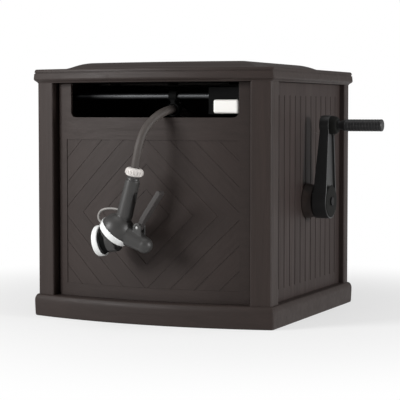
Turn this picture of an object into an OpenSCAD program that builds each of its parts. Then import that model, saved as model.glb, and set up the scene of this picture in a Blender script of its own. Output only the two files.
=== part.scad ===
// Hose reel box: a bow-fronted garden box with a lift-up lid, a crank-driven reel and a hose guide.
// Units are millimetres. The origin is on the floor under the middle of the box.
// X points to the crank side, Y to the back and Z up.

/* [Box] */
// Width over the lid and the base
box_w = 556; // [500:1:600]
// Depth over the corners of the lid and the base
box_d = 496; // [460:1:560]
// How far the front bows out beyond its corners
bow = 40; // [28:1:55]
// Height of the lid's underside
seat_z = 501; // [490:1:530]
// Height of the base
base_h = 47; // [38:1:55]
// Wall of the moulded shells
wall = 4; // [3:0.5:5]
// Set-back of the posts from the edge of the base and the lid
post_inset = 8; // [4:1:12]
// Width of a post's front face
post_w = 43; // [30:1:48]
// Width of a front post's side face
post_d = 40; // [34:1:58]
// Width of a back post's side face
back_post_d = 26; // [22:1:58]
// Set-back of the side panels from the posts
side_recess = 13; // [8:1:24]
// Set-back of the back panel from the posts
back_recess = 15; // [8:1:18]

/* [Front panel] */
// Set-back of the front panel from the posts
front_recess = 19; // [10:1:24]
// Thickness of the front panel
front_wall = 7; // [6:0.5:9]
// Width of the shadow gap between the front panel and a post
gap_w = 6; // [5:1:14]
// Depth of the shadow gap
gap_depth = 30; // [24:1:36]
// Height of the hose slot under the lid
slot_h = 73; // [68:1:80]
// Width left beside the hose slot at its right end
slot_stile = 23; // [18:1:34]
// Width left beside the hose slot at its left end
slot_stile_left = 33; // [18:1:44]
// Corner radius of the hose slot
slot_r = 12; // [6:1:18]
// Height of the rail under the hose slot
rail_h = 47; // [36:1:60]
// Height of the bottom rail
low_rail_h = 27; // [20:1:36]
// Width of the stile beside the board field
stile_w = 21; // [16:1:30]
// Depth of the board field below its frame
field_depth = 2.5; // [1:0.5:3]
// Spacing of the boards, measured along the floor
board_step = 52; // [40:1:64]
// Width of the grooves between boards
groove_w = 3; // [2:0.5:4]
// Depth of the grooves between boards
groove_d = 2; // [1:0.5:2.5]

/* [Lid] */
// Height of the lid's rim
rim_h = 29; // [24:1:36]
// Height of the crown above the rim
crown_h = 15; // [10:1:22]
// Set-back of the crown's foot from the rim
crown_foot = 53; // [40:1:60]
// Set-back of the crown's flat top from the rim
crown_top = 89; // [72:1:100]
// Width of the crease round the rim
crease_w = 2.5; // [1.5:0.5:4]
// Depth of the crease round the rim
crease_d = 1.5; // [0.5:0.5:2]
// Thickness of the lid's flat underside
liner_t = 3; // [2:0.5:4]
// Distance of each hinge from the middle
hinge_x = 150; // [110:1:180]
// Radius of the hinge pins
hinge_pin_r = 3; // [2.5:0.5:4]
// Radius of the hinge barrels
hinge_barrel_r = 8; // [7:0.5:8.5]

/* [Reel] */
// Radius of the reel's flanges
flange_r = 190; // [178:1:194]
// Thickness of the reel's flanges
flange_t = 5; // [4:0.5:7]
// Gap between the flanges and the floor of the box
reel_lift = 11; // [8:1:16]
// Gap between a flange and its side panel
reel_gap = 48; // [34:1:56]
// Outer radius of the drum
drum_r = 80; // [70:1:86]
// Radius of the axle and of the water spigot
axle_r = 14; // [12:0.5:15]
// Radius of the water passage
water_r = 9.5; // [8:0.5:10]

/* [Hose] */
// Outer diameter of the hose
hose_od = 17.5; // [16:0.1:18.5]
// Gap between neighbouring turns
turn_gap = 0.8; // [0.5:0.1:2]

/* [Guide] */
// Radius of the guide rod
rod_r = 6; // [5:0.5:7]
// Height of the lid's underside above the guide rod
rod_drop = 29; // [26:1:34]
// Set-back of the guide rod from the front corners of the lid
rod_back = 26; // [20:1:30]
// Length of the guide's sleeve on the rod
sleeve_len = 18; // [14:1:24]
// Depth of the hose eye below the guide rod
eye_drop = 28; // [26:1:30]

/* [Crank] */
// Length of the crank from its axle to its grip
crank_len = 163; // [140:1:170]
// Radius of the crank's round end at the axle
crank_low_r = 37; // [30:1:40]
// Radius of the crank's round end at the grip
crank_end_r = 21; // [18:1:24]
// Thickness of the crank's arm at the grip
arm_t = 13; // [11:1:16]
// Thickness of the crank's arm at the axle
arm_low_t = 26; // [20:1:28]
// How far the inner face of the arm stands off the side of the lid, at the grip
arm_off = 21; // [14:1:26]
// Length of the grip
grip_len = 112; // [100:1:135]
// Radius of the grip at its end
grip_r = 13; // [11:0.5:15]
// Radius of the spindle that the grip turns on
spindle_r = 5; // [4:0.5:6]
// Radius of the boss on the side panel that the crank turns on
boss_r = 38; // [34:1:42]

/* [Hidden] */
$fn = 96;
// Running clearance of round moving fits, on the radius
run_fit = 0.06;
// Clearance between soft or moulded faces on different bodies
soft_gap = 0.3;
// Overshoot of cuts beyond the face that they cut
over = 1;

// Bow of the front: one true circle, which all set-backs share
bow_r = (pow(box_w / 2, 2) + bow * bow) / (2 * bow);
bow_cy = bow_r - box_d / 2 - bow;
bow_sides = 240;
function arc_y(x, inset) = bow_cy - sqrt(pow(bow_r - inset, 2) - x * x);

// Faces of the body
post_x = box_w / 2 - post_inset;
post_y = box_d / 2 - post_inset;
post_in_x = post_x - post_w;
post_in_y = post_y - post_d;
back_post_y = post_y - back_post_d;
side_out_x = post_x - side_recess;
side_in_x = side_out_x - wall;
back_out_y = post_y - back_recess;
back_in_y = back_out_y - wall;
lid_gap = 0.5;
panel_top = seat_z - lid_gap;
ledge_w = post_inset + front_recess + gap_depth + 6;

// Front panel
front_in = post_inset + front_recess;
panel_hw = post_in_x - gap_w;
slot_hw = panel_hw - slot_stile;
slot_left = panel_hw - slot_stile_left;
slot_z = seat_z - slot_h;
field_hw = panel_hw - stile_w;
field_z0 = base_h + low_rail_h;
field_z1 = slot_z - rail_h;
field_zc = (field_z0 + field_z1) / 2;
field_hh = (field_z1 - field_z0) / 2;
boards = floor((field_hw + field_hh) / board_step);

// Planks of the side panels
planks = 13;
back_planks = 8;
back_plank_w = 2 * post_in_x / back_planks;
plank_w = (post_in_y + back_post_y) / planks;

// Lid
rim_z = seat_z + rim_h;
crown_z = rim_z + crown_h;
crease_z = rim_z - 9;
hinge_y = box_d / 2 + hinge_barrel_r + 1;
hinge_z = seat_z - 2;
leaf_w = 22;
bracket_w = 26;
leaf_gap = 0.5;
leaf_h = 17;
hinge_screw_r = 2;
hinge_screw_drop = [24, 40];
hinge_screw_z = [for (d = hinge_screw_drop) seat_z - d];
bracket_h = 50;
bracket_t = 6;

// Reel
axle_z = base_h + reel_lift + flange_r;
flange_x = side_in_x - reel_gap;
drum_x = flange_x - flange_t;
drum_wall = 4;
plate_r = 34;
plate_t = 5;
bush_r = axle_r + 6;
bush_rim = 6;
bush_rim_t = 4;

// Water inlet on the left side
inlet_r = 13.3;
inlet_len = 16;
inlet_collar_r = 19;
inlet_collar_t = 10;
inlet_plate_r = 36;
inlet_plate_t = 8;
inlet_bore_r = 6.5;
tail_r = water_r - 0.6;
spigot_end = side_out_x + 2.5;
inlet_face = side_out_x + inlet_plate_t;
seal_set = 16;
seal_x = side_out_x - seal_set;
seal_w = 4;
inlet_screw_r = 2;
inlet_screw_pcd_r = 28;
elbow_set = 22;
elbow_x = drum_x - elbow_set;
elbow_r = 12;
elbow_bore = 8.5;

// Wound hose: a plain inner layer, and one outer layer that winds over it
hose_r = hose_od / 2;
core_r = drum_r + hose_od;
loop_rings = 24;
tube_sides = 6;
wind_room = 2 * (drum_x - hose_r - over);
turns = floor(wind_room / (hose_od + turn_gap));
pitch = wind_room / turns;
wind_sag = (core_r + hose_r) * (1 - cos(180 / loop_rings));
wind_r = core_r + hose_r + soft_gap + wind_sag;
lead = atan(pitch / (2 * PI * wind_r));
end_angle = 270;
tail_len = 14;
tail_w = hose_od - 4;
tail_root = 8;

// Guide
rod_y = -(box_d / 2 - rod_back);
rod_z = seat_z - rod_drop;
eye_z = rod_z - eye_drop;
guide_x = 45;
sleeve_r = rod_r + 5;
eyelet_r = hose_r + 0.4;
eyelet_wall = 2;
eye_r = eyelet_r + eyelet_wall + 3;
eye_len = 16;
hanger_w = 10;
bracket_reach = 12;
bracket_drop = 38;
bracket_rise = 18;
bracket_step = 8;
bracket_y0 = rod_y - bracket_reach;
bracket_y1 = rod_y + bracket_reach;
bracket_z0 = rod_z - bracket_drop;
bracket_z1 = rod_z + bracket_rise;
rod_seat = 12;
end_bracket_w = 18;
stop_span = 58;
stop_clear = 2;
stop_drop = 36;
stop_gap = 1.5;
stop_x0 = slot_hw - stop_span;
stop_x1 = slot_hw - stop_clear;
stop_z0 = rod_z - stop_drop;
stop_z1 = rod_z - rod_r - stop_gap;
stop_depth = 14;
stop_front = 5;
bracket_in_x = stop_x0 - bracket_reach;
bracket_out_x = panel_hw - wall;

// Crank
arm_x0 = box_w / 2 + arm_off;
arm_x1 = arm_x0 + arm_t;
arm_low_x = arm_x1 - arm_low_t;
arm_lean = atan((arm_x0 - arm_low_x) / (crank_len - crank_end_r));
crank_hub_r = crank_low_r - 7;
crank_hub_t = 6;
boss_gap = 2;
boss_end = arm_low_x - crank_hub_t - boss_gap;
boss_end_r = boss_r - 4;
grip_z = axle_z + crank_len;
grip_x0 = arm_x1 + 2;
grip_x1 = grip_x0 + grip_len;
grip_neck_r = 8.5;
grip_neck_len = 16;
grip_flare = 12;
cap_depth = 4;
cap_seat_r = grip_r - 3;
spindle_head_r = spindle_r + 2.5;
spindle_head_t = 3;
head_room = 0.5;
arm_rib = 4;
arm_dish = 4;
arm_waist = 3;
crank_screw_r = 4;
crank_screw_head_r = 9;
crank_screw_head_t = 4;
crank_screw_len = 30;

// Hose run: from the drum over the guide and down to the nozzle, points chosen by hand
run_route = [
  [45, 70, 130], [45, 100, 162], [45, 124, 202], [45, 132, 248], [45, 124, 293], [45, 102, 333],
  [45, 72, 360], [45, 37, 375], [45, -36, 397], [45, -110, 418], [45, -160, 433], [45, -184, 440],
  [45, -197, 443], [45, -210, 444], [45, -234, 444], [43, -258, 441], [36, -280, 432], [27, -299, 417],
  [20, -314, 398], [15.5, -323, 376], [10.5, -326, 348], [6.2, -326, 326]
];
run_sides = 10;
run_end = run_route[len(run_route) - 1];
run_last = run_route[len(run_route) - 2];
drop_tilt = atan((run_last[0] - run_end[0]) / (run_last[2] - run_end[2]));

// Coupling and nozzle, hung from the end of the hose run
coupling_r = 19;
coupling_len = 17;
coupling_lip = 2;
insert_r = 13;
insert_len = 8;
grip_tilt = 15;
nozzle_grip_top_r = 15;
nozzle_grip_low_r = 17;
nozzle_grip_len = 74;
grip_shoulder = 6;
bulb_r = 34;
barrel_r = 17;
barrel_x = 62;
barrel_drop = 30;
barrel_len = norm([barrel_x, barrel_drop]);
barrel_dip = atan(barrel_drop / barrel_x);
waist_r = 24;
barrel_end_r = barrel_r - 0.6;
bulb_back = 17;
bulb_drop = 30;
spray_drop = 19;
spray_tilt = 8;
collar_tilt = 46;
collar_r = 37;
collar_end_r = 33;
collar_w = 14;
collar_back = 2;
dial_start = 29;
dial_len = 13;
dial_root_r = 26;
dial_r = 29;
bezel_w = 12;
bezel_r = 32;
stem_r = 9;
stem_len = 8;
pivot_x = 50;
pivot_up = 6;
lug_t = 5;
lug_r = 9;
lever_w = 13;
lever_t = 10;
lever_len = 84;
lever_lean = 34;
lever_root_r = 7.5;
lever_flare_w = 22;
pin_r = 2.5;

// Vector and sweep helpers
function unit(v) = v / norm(v);
function path_tangent(p, i) = unit(p[min(i + 1, len(p) - 1)] - p[max(i - 1, 0)]);
function across(v, t) = unit(v - (v * t) * t);
function path_sides(p, start) = [
  for (i = 0, u = across(start, path_tangent(p, 0)); i < len(p);
       i = i + 1, u = i < len(p) ? across(u, path_tangent(p, i)) : u) u
];
function ring_points(c, t, u, r, n) = [
  for (k = [0 : n - 1]) c + r * (cos(360 * k / n) * u + sin(360 * k / n) * cross(t, u))
];
function tube_points(p, r, n, start) = let (sides = path_sides(p, start)) [
  for (i = [0 : len(p) - 1]) each ring_points(p[i], path_tangent(p, i), sides[i], r, n)
];
function tube_faces(m, n) = concat(
  [for (k = [1 : n - 2]) [0, k, k + 1]],
  [for (i = [0 : m - 2], k = [0 : n - 1]) each let (a = i * n + k, b = i * n + (k + 1) % n)
    [[a, a + n, b], [b, a + n, b + n]]],
  [for (k = [1 : n - 2]) let (e = (m - 1) * n) [e, e + k + 1, e + k]]
);
module tube(p, r, n, start) {
  polyhedron(points = tube_points(p, r, n, start), faces = tube_faces(len(p), n));
}

// Winding: straight for one hose diameter at each end, a plain helix between
function helix_point(k) = let (a = end_angle + 360 * k / loop_rings)
  [-wind_room / 2 + pitch * k / loop_rings, wind_r * cos(a), axle_z + wind_r * sin(a)];
function helix_heading(k) = let (a = end_angle + 360 * k / loop_rings)
  [sin(lead), -sin(a) * cos(lead), cos(a) * cos(lead)];
wind_steps = turns * loop_rings;
wind_path = concat(
  [helix_point(0) - hose_od * helix_heading(0)],
  [for (k = [0 : wind_steps]) helix_point(k)],
  [helix_point(wind_steps) + hose_od * helix_heading(wind_steps)]
);
wind_gap = min([
  for (i = [0 : len(wind_path) - 1 - loop_rings / 2])
    for (j = [i + loop_rings / 2 : min(i + 3 * loop_rings / 2, len(wind_path) - 1)])
      norm(wind_path[i] - wind_path[j])
]) - hose_od;
echo(winding_turns = turns, least_self_gap_mm = wind_gap);
function path_length(p) = [for (i = 0, s = 0; i < len(p); i = i + 1, s = s + norm(p[min(i, len(p) - 1)] - p[i - 1])) s];
run_lengths = path_length(run_route);
wind_lengths = path_length(wind_path);
echo(run_length_mm = run_lengths[len(run_lengths) - 1], winding_length_mm = wind_lengths[len(wind_lengths) - 1]);

// Solids that share the bow
module bow_disc(inset, z0, z1) {
  translate([0, bow_cy, z0]) cylinder(r = bow_r - inset, h = z1 - z0, $fn = bow_sides);
}

module span_box(x0, x1, y0, y1, z0, z1) {
  translate([x0, y0, z0]) cube([x1 - x0, y1 - y0, z1 - z0]);
}

module bow_block(inset, z0, z1) {
  intersection() {
    bow_disc(inset, z0, z1);
    span_box(inset - box_w / 2, box_w / 2 - inset, -box_d / 2 - bow - over, box_d / 2 - inset, z0, z1);
  }
}

module bow_shell(inset, depth, x0, x1, z0, z1) {
  intersection() {
    difference() {
      bow_disc(inset, z0, z1);
      bow_disc(inset + depth, z0 - over, z1 + over);
    }
    span_box(x0, x1, -box_d / 2 - bow - over, 0, z0, z1);
  }
}

module x_rod(r, x0, x1, y = 0, z = 0) {
  translate([x0, y, z]) rotate([0, 90, 0]) cylinder(r = r, h = x1 - x0);
}

module y_rod(r, y0, y1, x = 0, z = 0) {
  translate([x, y0, z]) rotate([-90, 0, 0]) cylinder(r = r, h = y1 - y0);
}

module x_ring(r_out, r_in, x0, x1, y = 0, z = 0) {
  difference() {
    x_rod(r_out, x0, x1, y, z);
    x_rod(r_in, x0 - over, x1 + over, y, z);
  }
}

// Box
module base_tray() {
  color("#46413d") difference() {
    bow_block(0, 0, base_h);
    bow_block(wall, wall, base_h - wall);
    bow_block(ledge_w, wall, base_h + over);
  }
}

module board_bar(k, sx, sz) {
  reach = k * board_step;
  x0 = max(0, reach - field_hh);
  x1 = min(field_hw, reach);
  h = groove_w * sqrt(2) / 2;
  translate([0, 0, field_zc]) rotate([90, 0, 0]) linear_extrude(box_d)
    polygon([
      [sx * (x0 - h), sz * (reach - x0)], [sx * (x0 + h), sz * (reach - x0)],
      [sx * (x1 + h), sz * (reach - x1)], [sx * (x1 - h), sz * (reach - x1)]
    ]);
}

module slot_cut() {
  y0 = -box_d / 2 - bow;
  y1 = arc_y(slot_hw, front_in + gap_depth);
  span_box(-slot_left, slot_hw, y0, y1, slot_z + slot_r, seat_z);
  span_box(slot_r - slot_left, slot_hw - slot_r, y0, y1, slot_z, seat_z);
  for (x = [slot_r - slot_left, slot_hw - slot_r]) y_rod(slot_r, y0, y1, x, slot_z + slot_r);
}

module front_panel() {
  color("#443e3a") difference() {
    union() {
      bow_shell(front_in, front_wall, -panel_hw, panel_hw, base_h, panel_top);
      for (s = [0, 1]) mirror([s, 0, 0]) {
        bow_shell(front_in, gap_depth, panel_hw - wall, panel_hw, base_h, panel_top);
        bow_shell(front_in + gap_depth - wall, wall, panel_hw - wall, post_in_x, base_h, panel_top);
      }
    }
    slot_cut();
    bow_shell(front_in - over, field_depth + over, -field_hw, field_hw, field_z0, field_z1);
    intersection() {
      bow_shell(front_in - over, field_depth + groove_d + over, -field_hw, field_hw, field_z0, field_z1);
      union() for (k = [1 : boards], sx = [-1, 1], sz = [-1, 1]) board_bar(k, sx, sz);
    }
  }
}

module back_panel() {
  color("#443e3a") difference() {
    span_box(-post_in_x, post_in_x, back_in_y, back_out_y, base_h, panel_top);
    for (k = [1 : back_planks - 1])
      span_box(k * back_plank_w - post_in_x - groove_w / 2, k * back_plank_w - post_in_x + groove_w / 2,
        back_out_y - groove_d, back_out_y + over, base_h + low_rail_h, panel_top - low_rail_h);
    for (s = [-1, 1], z = hinge_screw_z) y_rod(hinge_screw_r, back_in_y - over, back_out_y + over, s * hinge_x, z);
  }
}

module side_plate() {
  difference() {
    span_box(side_in_x, side_out_x, -post_in_y, back_post_y, base_h, panel_top);
    for (k = [1 : planks - 1])
      span_box(side_out_x - groove_d, side_out_x + over, k * plank_w - post_in_y - groove_w / 2,
        k * plank_w - post_in_y + groove_w / 2, base_h + low_rail_h, panel_top - low_rail_h);
  }
}

module left_panel() {
  color("#4b4541") difference() {
    mirror([1, 0, 0]) side_plate();
    x_rod(bush_r, -side_out_x - over, -side_in_x + over, 0, axle_z);
    for (a = [45 : 90 : 315])
      x_rod(inlet_screw_r, -side_out_x - over, -side_in_x + over,
        inlet_screw_pcd_r * cos(a), axle_z + inlet_screw_pcd_r * sin(a));
  }
}

module right_panel() {
  color("#4b4541") difference() {
    side_plate();
    x_rod(bush_r, side_in_x - over, side_out_x + over, 0, axle_z);
  }
}

module front_post_right() {
  difference() {
    intersection() {
      bow_block(post_inset, base_h, seat_z);
      span_box(post_in_x, post_x, -box_d / 2 - bow, -post_in_y, base_h, seat_z);
    }
    intersection() {
      bow_block(post_inset + wall, base_h - over, seat_z + over);
      span_box(post_in_x + wall, post_x - wall, -box_d / 2 - bow, -post_in_y - wall, base_h - over, seat_z + over);
    }
  }
}

module back_post_right() {
  difference() {
    span_box(post_in_x, post_x, back_post_y, post_y, base_h, seat_z);
    span_box(post_in_x + wall, post_x - wall, back_post_y + wall, post_y - wall, base_h - over, seat_z + over);
  }
}

module front_left_post() { color("#4d4846") mirror([1, 0, 0]) front_post_right(); }
module front_right_post() { color("#4d4846") front_post_right(); }
module back_left_post() { color("#4d4846") mirror([1, 0, 0]) back_post_right(); }
module back_right_post() { color("#4d4846") back_post_right(); }

// Bearings and water inlet
module bush(x_face, length) {
  difference() {
    union() {
      x_rod(bush_r, x_face, x_face + length, 0, axle_z);
      x_rod(bush_r + bush_rim, x_face - bush_rim_t, x_face, 0, axle_z);
    }
    x_rod(axle_r + run_fit, x_face - bush_rim_t - over, x_face + length + over, 0, axle_z);
  }
}

module left_bearing() { color("#1c1c1c") mirror([1, 0, 0]) bush(side_in_x, wall); }
module right_bearing() { color("#1c1c1c") bush(side_in_x, wall); }

module bearing_cap() {
  color("#4b4541") difference() {
    translate([side_out_x, 0, axle_z]) rotate([0, 90, 0])
      cylinder(r1 = boss_r, r2 = boss_end_r, h = boss_end - side_out_x);
    x_rod(axle_r + over, side_out_x - over, boss_end + over, 0, axle_z);
  }
}

module water_inlet() {
  color("#b08d4a") mirror([1, 0, 0]) difference() {
    union() {
      x_rod(inlet_plate_r, side_out_x, inlet_face, 0, axle_z);
      x_rod(inlet_collar_r, inlet_face, inlet_face + inlet_collar_t, 0, axle_z);
      x_rod(inlet_r, inlet_face, inlet_face + inlet_collar_t + inlet_len, 0, axle_z);
      x_rod(tail_r, seal_x - seal_w - over, inlet_face, 0, axle_z);
    }
    x_rod(inlet_bore_r, seal_x - 2 * seal_w, inlet_face + inlet_collar_t + inlet_len + over, 0, axle_z);
    x_ring(axle_r + over, tail_r, side_out_x - over, spigot_end + over, 0, axle_z);
    for (a = [45 : 90 : 315])
      x_rod(inlet_screw_r, side_out_x - over, inlet_face + over,
        inlet_screw_pcd_r * cos(a), axle_z + inlet_screw_pcd_r * sin(a));
  }
}

module inlet_seal() {
  color("#111111") mirror([1, 0, 0])
    x_ring(water_r - run_fit, tail_r, seal_x - seal_w / 2, seal_x + seal_w / 2, 0, axle_z);
}

module inlet_screws() {
  color("silver") mirror([1, 0, 0]) for (a = [45 : 90 : 315])
    translate([0, inlet_screw_pcd_r * cos(a), axle_z + inlet_screw_pcd_r * sin(a)]) {
      x_rod(inlet_screw_r, side_in_x, inlet_face);
      x_rod(2 * inlet_screw_r, inlet_face, inlet_face + inlet_screw_r);
    }
}

// Hose guide parts that stay on the box
module guide_rod() {
  color("#c9cbcc") x_rod(rod_r, -bracket_out_x + end_bracket_w - rod_seat, bracket_out_x - end_bracket_w + rod_seat,
    rod_y, rod_z);
}

module left_rod_bracket() {
  color("#141414") difference() {
    span_box(-bracket_out_x, -bracket_out_x + end_bracket_w, bracket_y0 + bracket_step, bracket_y1,
      bracket_z0 + bracket_rise, bracket_z1);
    x_rod(rod_r, -bracket_out_x + end_bracket_w - rod_seat, over - bracket_out_x + end_bracket_w, rod_y, rod_z);
  }
}

module stop_form(front) {
  span_box(stop_x0, stop_x1, bracket_y0 - front, bracket_y0 + stop_depth, stop_z0, stop_z1);
}

module right_rod_bracket() {
  color("#141414") difference() {
    union() {
      span_box(bracket_in_x, stop_x1, bracket_y0, bracket_y1, bracket_z0, bracket_z1);
      span_box(bracket_in_x, bracket_out_x, bracket_y0 + bracket_step, bracket_y1, bracket_z0, bracket_z1);
    }
    stop_form(over);
    x_rod(rod_r, bracket_in_x - over, bracket_out_x - end_bracket_w + rod_seat, rod_y, rod_z);
  }
}

module guide_stop() { color("#f4f2ee") stop_form(stop_front); }

// Hinge parts that stay on the box
module hinge_brackets() {
  color("#2b2927") for (s = [-1, 1]) translate([s * hinge_x, 0, 0]) difference() {
    union() {
      span_box(-bracket_w / 2, bracket_w / 2, back_out_y, back_out_y + bracket_t, hinge_z - bracket_h, hinge_z);
      span_box(-bracket_w / 2, bracket_w / 2, back_out_y, hinge_y, hinge_z - hinge_barrel_r, hinge_z);
      x_rod(hinge_barrel_r, -bracket_w / 2, bracket_w / 2, hinge_y, hinge_z);
    }
    x_rod(hinge_pin_r, -bracket_w, bracket_w, hinge_y, hinge_z);
    for (z = hinge_screw_z) y_rod(hinge_screw_r, back_out_y - over, back_out_y + bracket_t + over, 0, z);
  }
}

module hinge_screws() {
  color("silver") for (s = [-1, 1], z = hinge_screw_z) translate([s * hinge_x, 0, z]) {
    y_rod(hinge_screw_r, back_in_y, back_out_y + bracket_t);
    y_rod(2 * hinge_screw_r, back_out_y + bracket_t, back_out_y + bracket_t + hinge_screw_r);
  }
}

module hinge_pins() {
  half = bracket_w / 2 + leaf_gap + leaf_w;
  color("silver") for (s = [-1, 1]) x_rod(hinge_pin_r, s * hinge_x - half, s * hinge_x + half, hinge_y, hinge_z);
}

// Lid
module crown(foot, top, z0, z1) {
  hw0 = box_w / 2 - foot;
  hw1 = box_w / 2 - top;
  y0 = box_d / 2 - foot;
  y1 = box_d / 2 - top;
  far = box_d + bow;
  intersection() {
    translate([0, bow_cy, z0]) cylinder(r1 = bow_r - foot, r2 = bow_r - top, h = z1 - z0);
    translate([0, far / 2, 0]) rotate([90, 0, 0]) linear_extrude(2 * far)
      polygon([[-hw0, z0], [hw0, z0], [hw1, z1], [-hw1, z1]]);
    translate([-box_w / 2, 0, 0]) rotate([90, 0, 90]) linear_extrude(box_w)
      polygon([[-far, z0], [y0, z0], [y1, z1], [-far, z1]]);
  }
}

module lid_shell() {
  color("#443f3d") difference() {
    union() {
      bow_block(0, seat_z, rim_z);
      crown(crown_foot, crown_top, rim_z, crown_z);
    }
    bow_block(wall, seat_z - over, rim_z - wall);
    difference() {
      bow_block(-over, crease_z, crease_z + crease_w);
      bow_block(crease_d, crease_z - over, crease_z + crease_w + over);
    }
    crown(crown_foot + wall, crown_top + wall, rim_z - wall - over, crown_z - wall);
  }
}

module lid_liner() { color("#3a3634") bow_block(wall, seat_z, seat_z + liner_t); }

module lid_hinge_leaves() {
  lid_y = box_d / 2;
  step = bracket_w / 2 + leaf_gap;
  color("#2b2927") for (s = [-1, 1], side = [0, 1]) translate([s * hinge_x, 0, 0]) mirror([side, 0, 0]) difference() {
    union() {
      span_box(step, step + leaf_w, lid_y, hinge_y, seat_z, seat_z + leaf_h);
      x_rod(hinge_barrel_r, step, step + leaf_w, hinge_y, hinge_z);
    }
    x_rod(hinge_pin_r + run_fit, step - over, step + leaf_w + over, hinge_y, hinge_z);
  }
}

// Reel
module drum() {
  color("#262423") difference() {
    x_ring(drum_r, drum_r - drum_wall, -drum_x, drum_x, 0, axle_z);
    translate([-elbow_x, 0, axle_z]) cylinder(r = elbow_r, h = drum_r + over);
  }
}

module flange_right() {
  rim_w = 8;
  x_rod(flange_r - rim_w / 2, drum_x, flange_x, 0, axle_z);
  translate([drum_x + flange_t / 2, 0, axle_z]) rotate([0, 90, 0])
    rotate_extrude() translate([flange_r - rim_w / 2, 0]) circle(r = rim_w / 2);
}

module left_flange() {
  color("#262423") difference() {
    mirror([1, 0, 0]) flange_right();
    x_rod(axle_r, -flange_x - over, -drum_x + over, 0, axle_z);
  }
}

module right_flange() { color("#262423") flange_right(); }

module water_spigot() {
  color("#1f1e1d") mirror([1, 0, 0]) difference() {
    union() {
      x_rod(plate_r, flange_x, flange_x + plate_t, 0, axle_z);
      x_rod(axle_r, drum_x, spigot_end, 0, axle_z);
    }
    x_rod(water_r, drum_x - over, spigot_end + over, 0, axle_z);
  }
}

module crank_axle() {
  color("#1f1e1d") difference() {
    union() {
      x_rod(plate_r, flange_x, flange_x + plate_t, 0, axle_z);
      x_rod(axle_r, flange_x, arm_low_x, 0, axle_z);
    }
    x_rod(crank_screw_r, arm_low_x - crank_screw_len, arm_low_x + over, 0, axle_z);
  }
}

module outlet_elbow() {
  color("#b08d4a") difference() {
    union() {
      x_rod(axle_r, -drum_x, -elbow_x + elbow_r, 0, axle_z);
      intersection() {
        translate([-elbow_x, 0, axle_z]) cylinder(r = elbow_r, h = drum_r);
        x_rod(drum_r, -drum_x, drum_x, 0, axle_z);
      }
    }
    x_rod(water_r, -drum_x - over, -elbow_x, 0, axle_z);
    translate([-elbow_x, 0, axle_z]) cylinder(r = elbow_bore, h = drum_r + over);
  }
}

module hose_tail(k, ahead) {
  start = ahead ? hose_od : -hose_od - tail_len;
  translate([helix_point(k)[0], 0, axle_z]) rotate([end_angle + 360 * k / loop_rings, 0, 0])
    translate([0, wind_r, 0]) rotate([0, lead, 0])
      span_box(-tail_w / 2, tail_w / 2, core_r - tail_root - wind_r, hose_r - over, start, start + tail_len);
}

module hose_core() {
  color("#3f3b38") union() {
    x_ring(core_r, drum_r, -drum_x, drum_x, 0, axle_z);
    hose_tail(0, false);
    hose_tail(wind_steps, true);
  }
}

module hose_winding() { color("#4f4a47") tube(wind_path, hose_r, tube_sides, [1, 0, 0]); }

// Crank
module crank_hub() {
  color("#1a1a1a") x_ring(crank_hub_r, axle_r, boss_end + boss_gap, arm_low_x, 0, axle_z);
}

module arm_form(shrink, x0, x1) {
  hub = crank_low_r - shrink;
  end = crank_end_r - shrink;
  x_rod(hub, x0, x1, 0, axle_z);
  x_rod(end, x0, x1, 0, grip_z);
  translate([x0, 0, 0]) rotate([90, 0, 90]) linear_extrude(x1 - x0)
    polygon([
      [arm_waist - hub, axle_z], [hub - arm_waist, axle_z],
      [end - arm_waist, grip_z], [arm_waist - end, grip_z]
    ]);
}

module arm_slope() {
  translate([arm_low_x, 0, axle_z]) rotate([0, arm_lean, 0])
    span_box(-2 * arm_low_t, 0, -2 * crank_low_r, 2 * crank_low_r, -crank_low_r, 2 * crank_len);
}

module crank_arm() {
  color("#2a2a2a") difference() {
    union() {
      difference() {
        arm_form(0, arm_low_x, arm_x1);
        arm_slope();
      }
      x_rod(crank_low_r, arm_low_x, arm_x1, 0, axle_z);
      x_rod(crank_end_r, arm_x0, arm_x1, 0, grip_z);
    }
    difference() {
      arm_form(arm_rib, arm_x1 - arm_dish, arm_x1 + over);
      x_rod(crank_low_r - 3 * arm_rib, arm_low_x, arm_x1 + over, 0, axle_z);
      x_rod(crank_end_r - arm_rib / 2, arm_low_x, arm_x1 + over, 0, grip_z);
    }
    x_rod(crank_screw_r, arm_low_x - over, arm_x1 + over, 0, axle_z);
    x_rod(spindle_r, arm_low_x - over, arm_x1 + over, 0, grip_z);
  }
}

module crank_screw() {
  color("silver") {
    x_rod(crank_screw_r, arm_low_x - crank_screw_len, arm_x1, 0, axle_z);
    x_rod(crank_screw_head_r, arm_x1, arm_x1 + crank_screw_head_t, 0, axle_z);
  }
}

module grip_spindle() {
  end = grip_x1 - cap_depth - head_room;
  color("silver") {
    x_rod(spindle_r, arm_x0, end, 0, grip_z);
    x_rod(spindle_head_r, end - spindle_head_t, end, 0, grip_z);
  }
}

module crank_grip() {
  bore = spindle_r + run_fit;
  head_x = grip_len - cap_depth - 2 * head_room - spindle_head_t;
  color("#222222") translate([grip_x0, 0, grip_z]) rotate([0, 90, 0]) rotate_extrude()
    polygon([
      [bore, 0], [grip_neck_r, 0], [grip_neck_r, grip_neck_len], [grip_r - 1.5, grip_neck_len + grip_flare],
      [grip_r, grip_len - 2], [grip_r - 2, grip_len], [cap_seat_r, grip_len], [cap_seat_r, grip_len - cap_depth],
      [spindle_head_r + head_room, grip_len - cap_depth], [spindle_head_r + head_room, head_x], [bore, head_x]
    ]);
}

module grip_cap() { color("#1a1a1a") x_rod(cap_seat_r, grip_x1 - cap_depth, grip_x1, 0, grip_z); }

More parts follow.
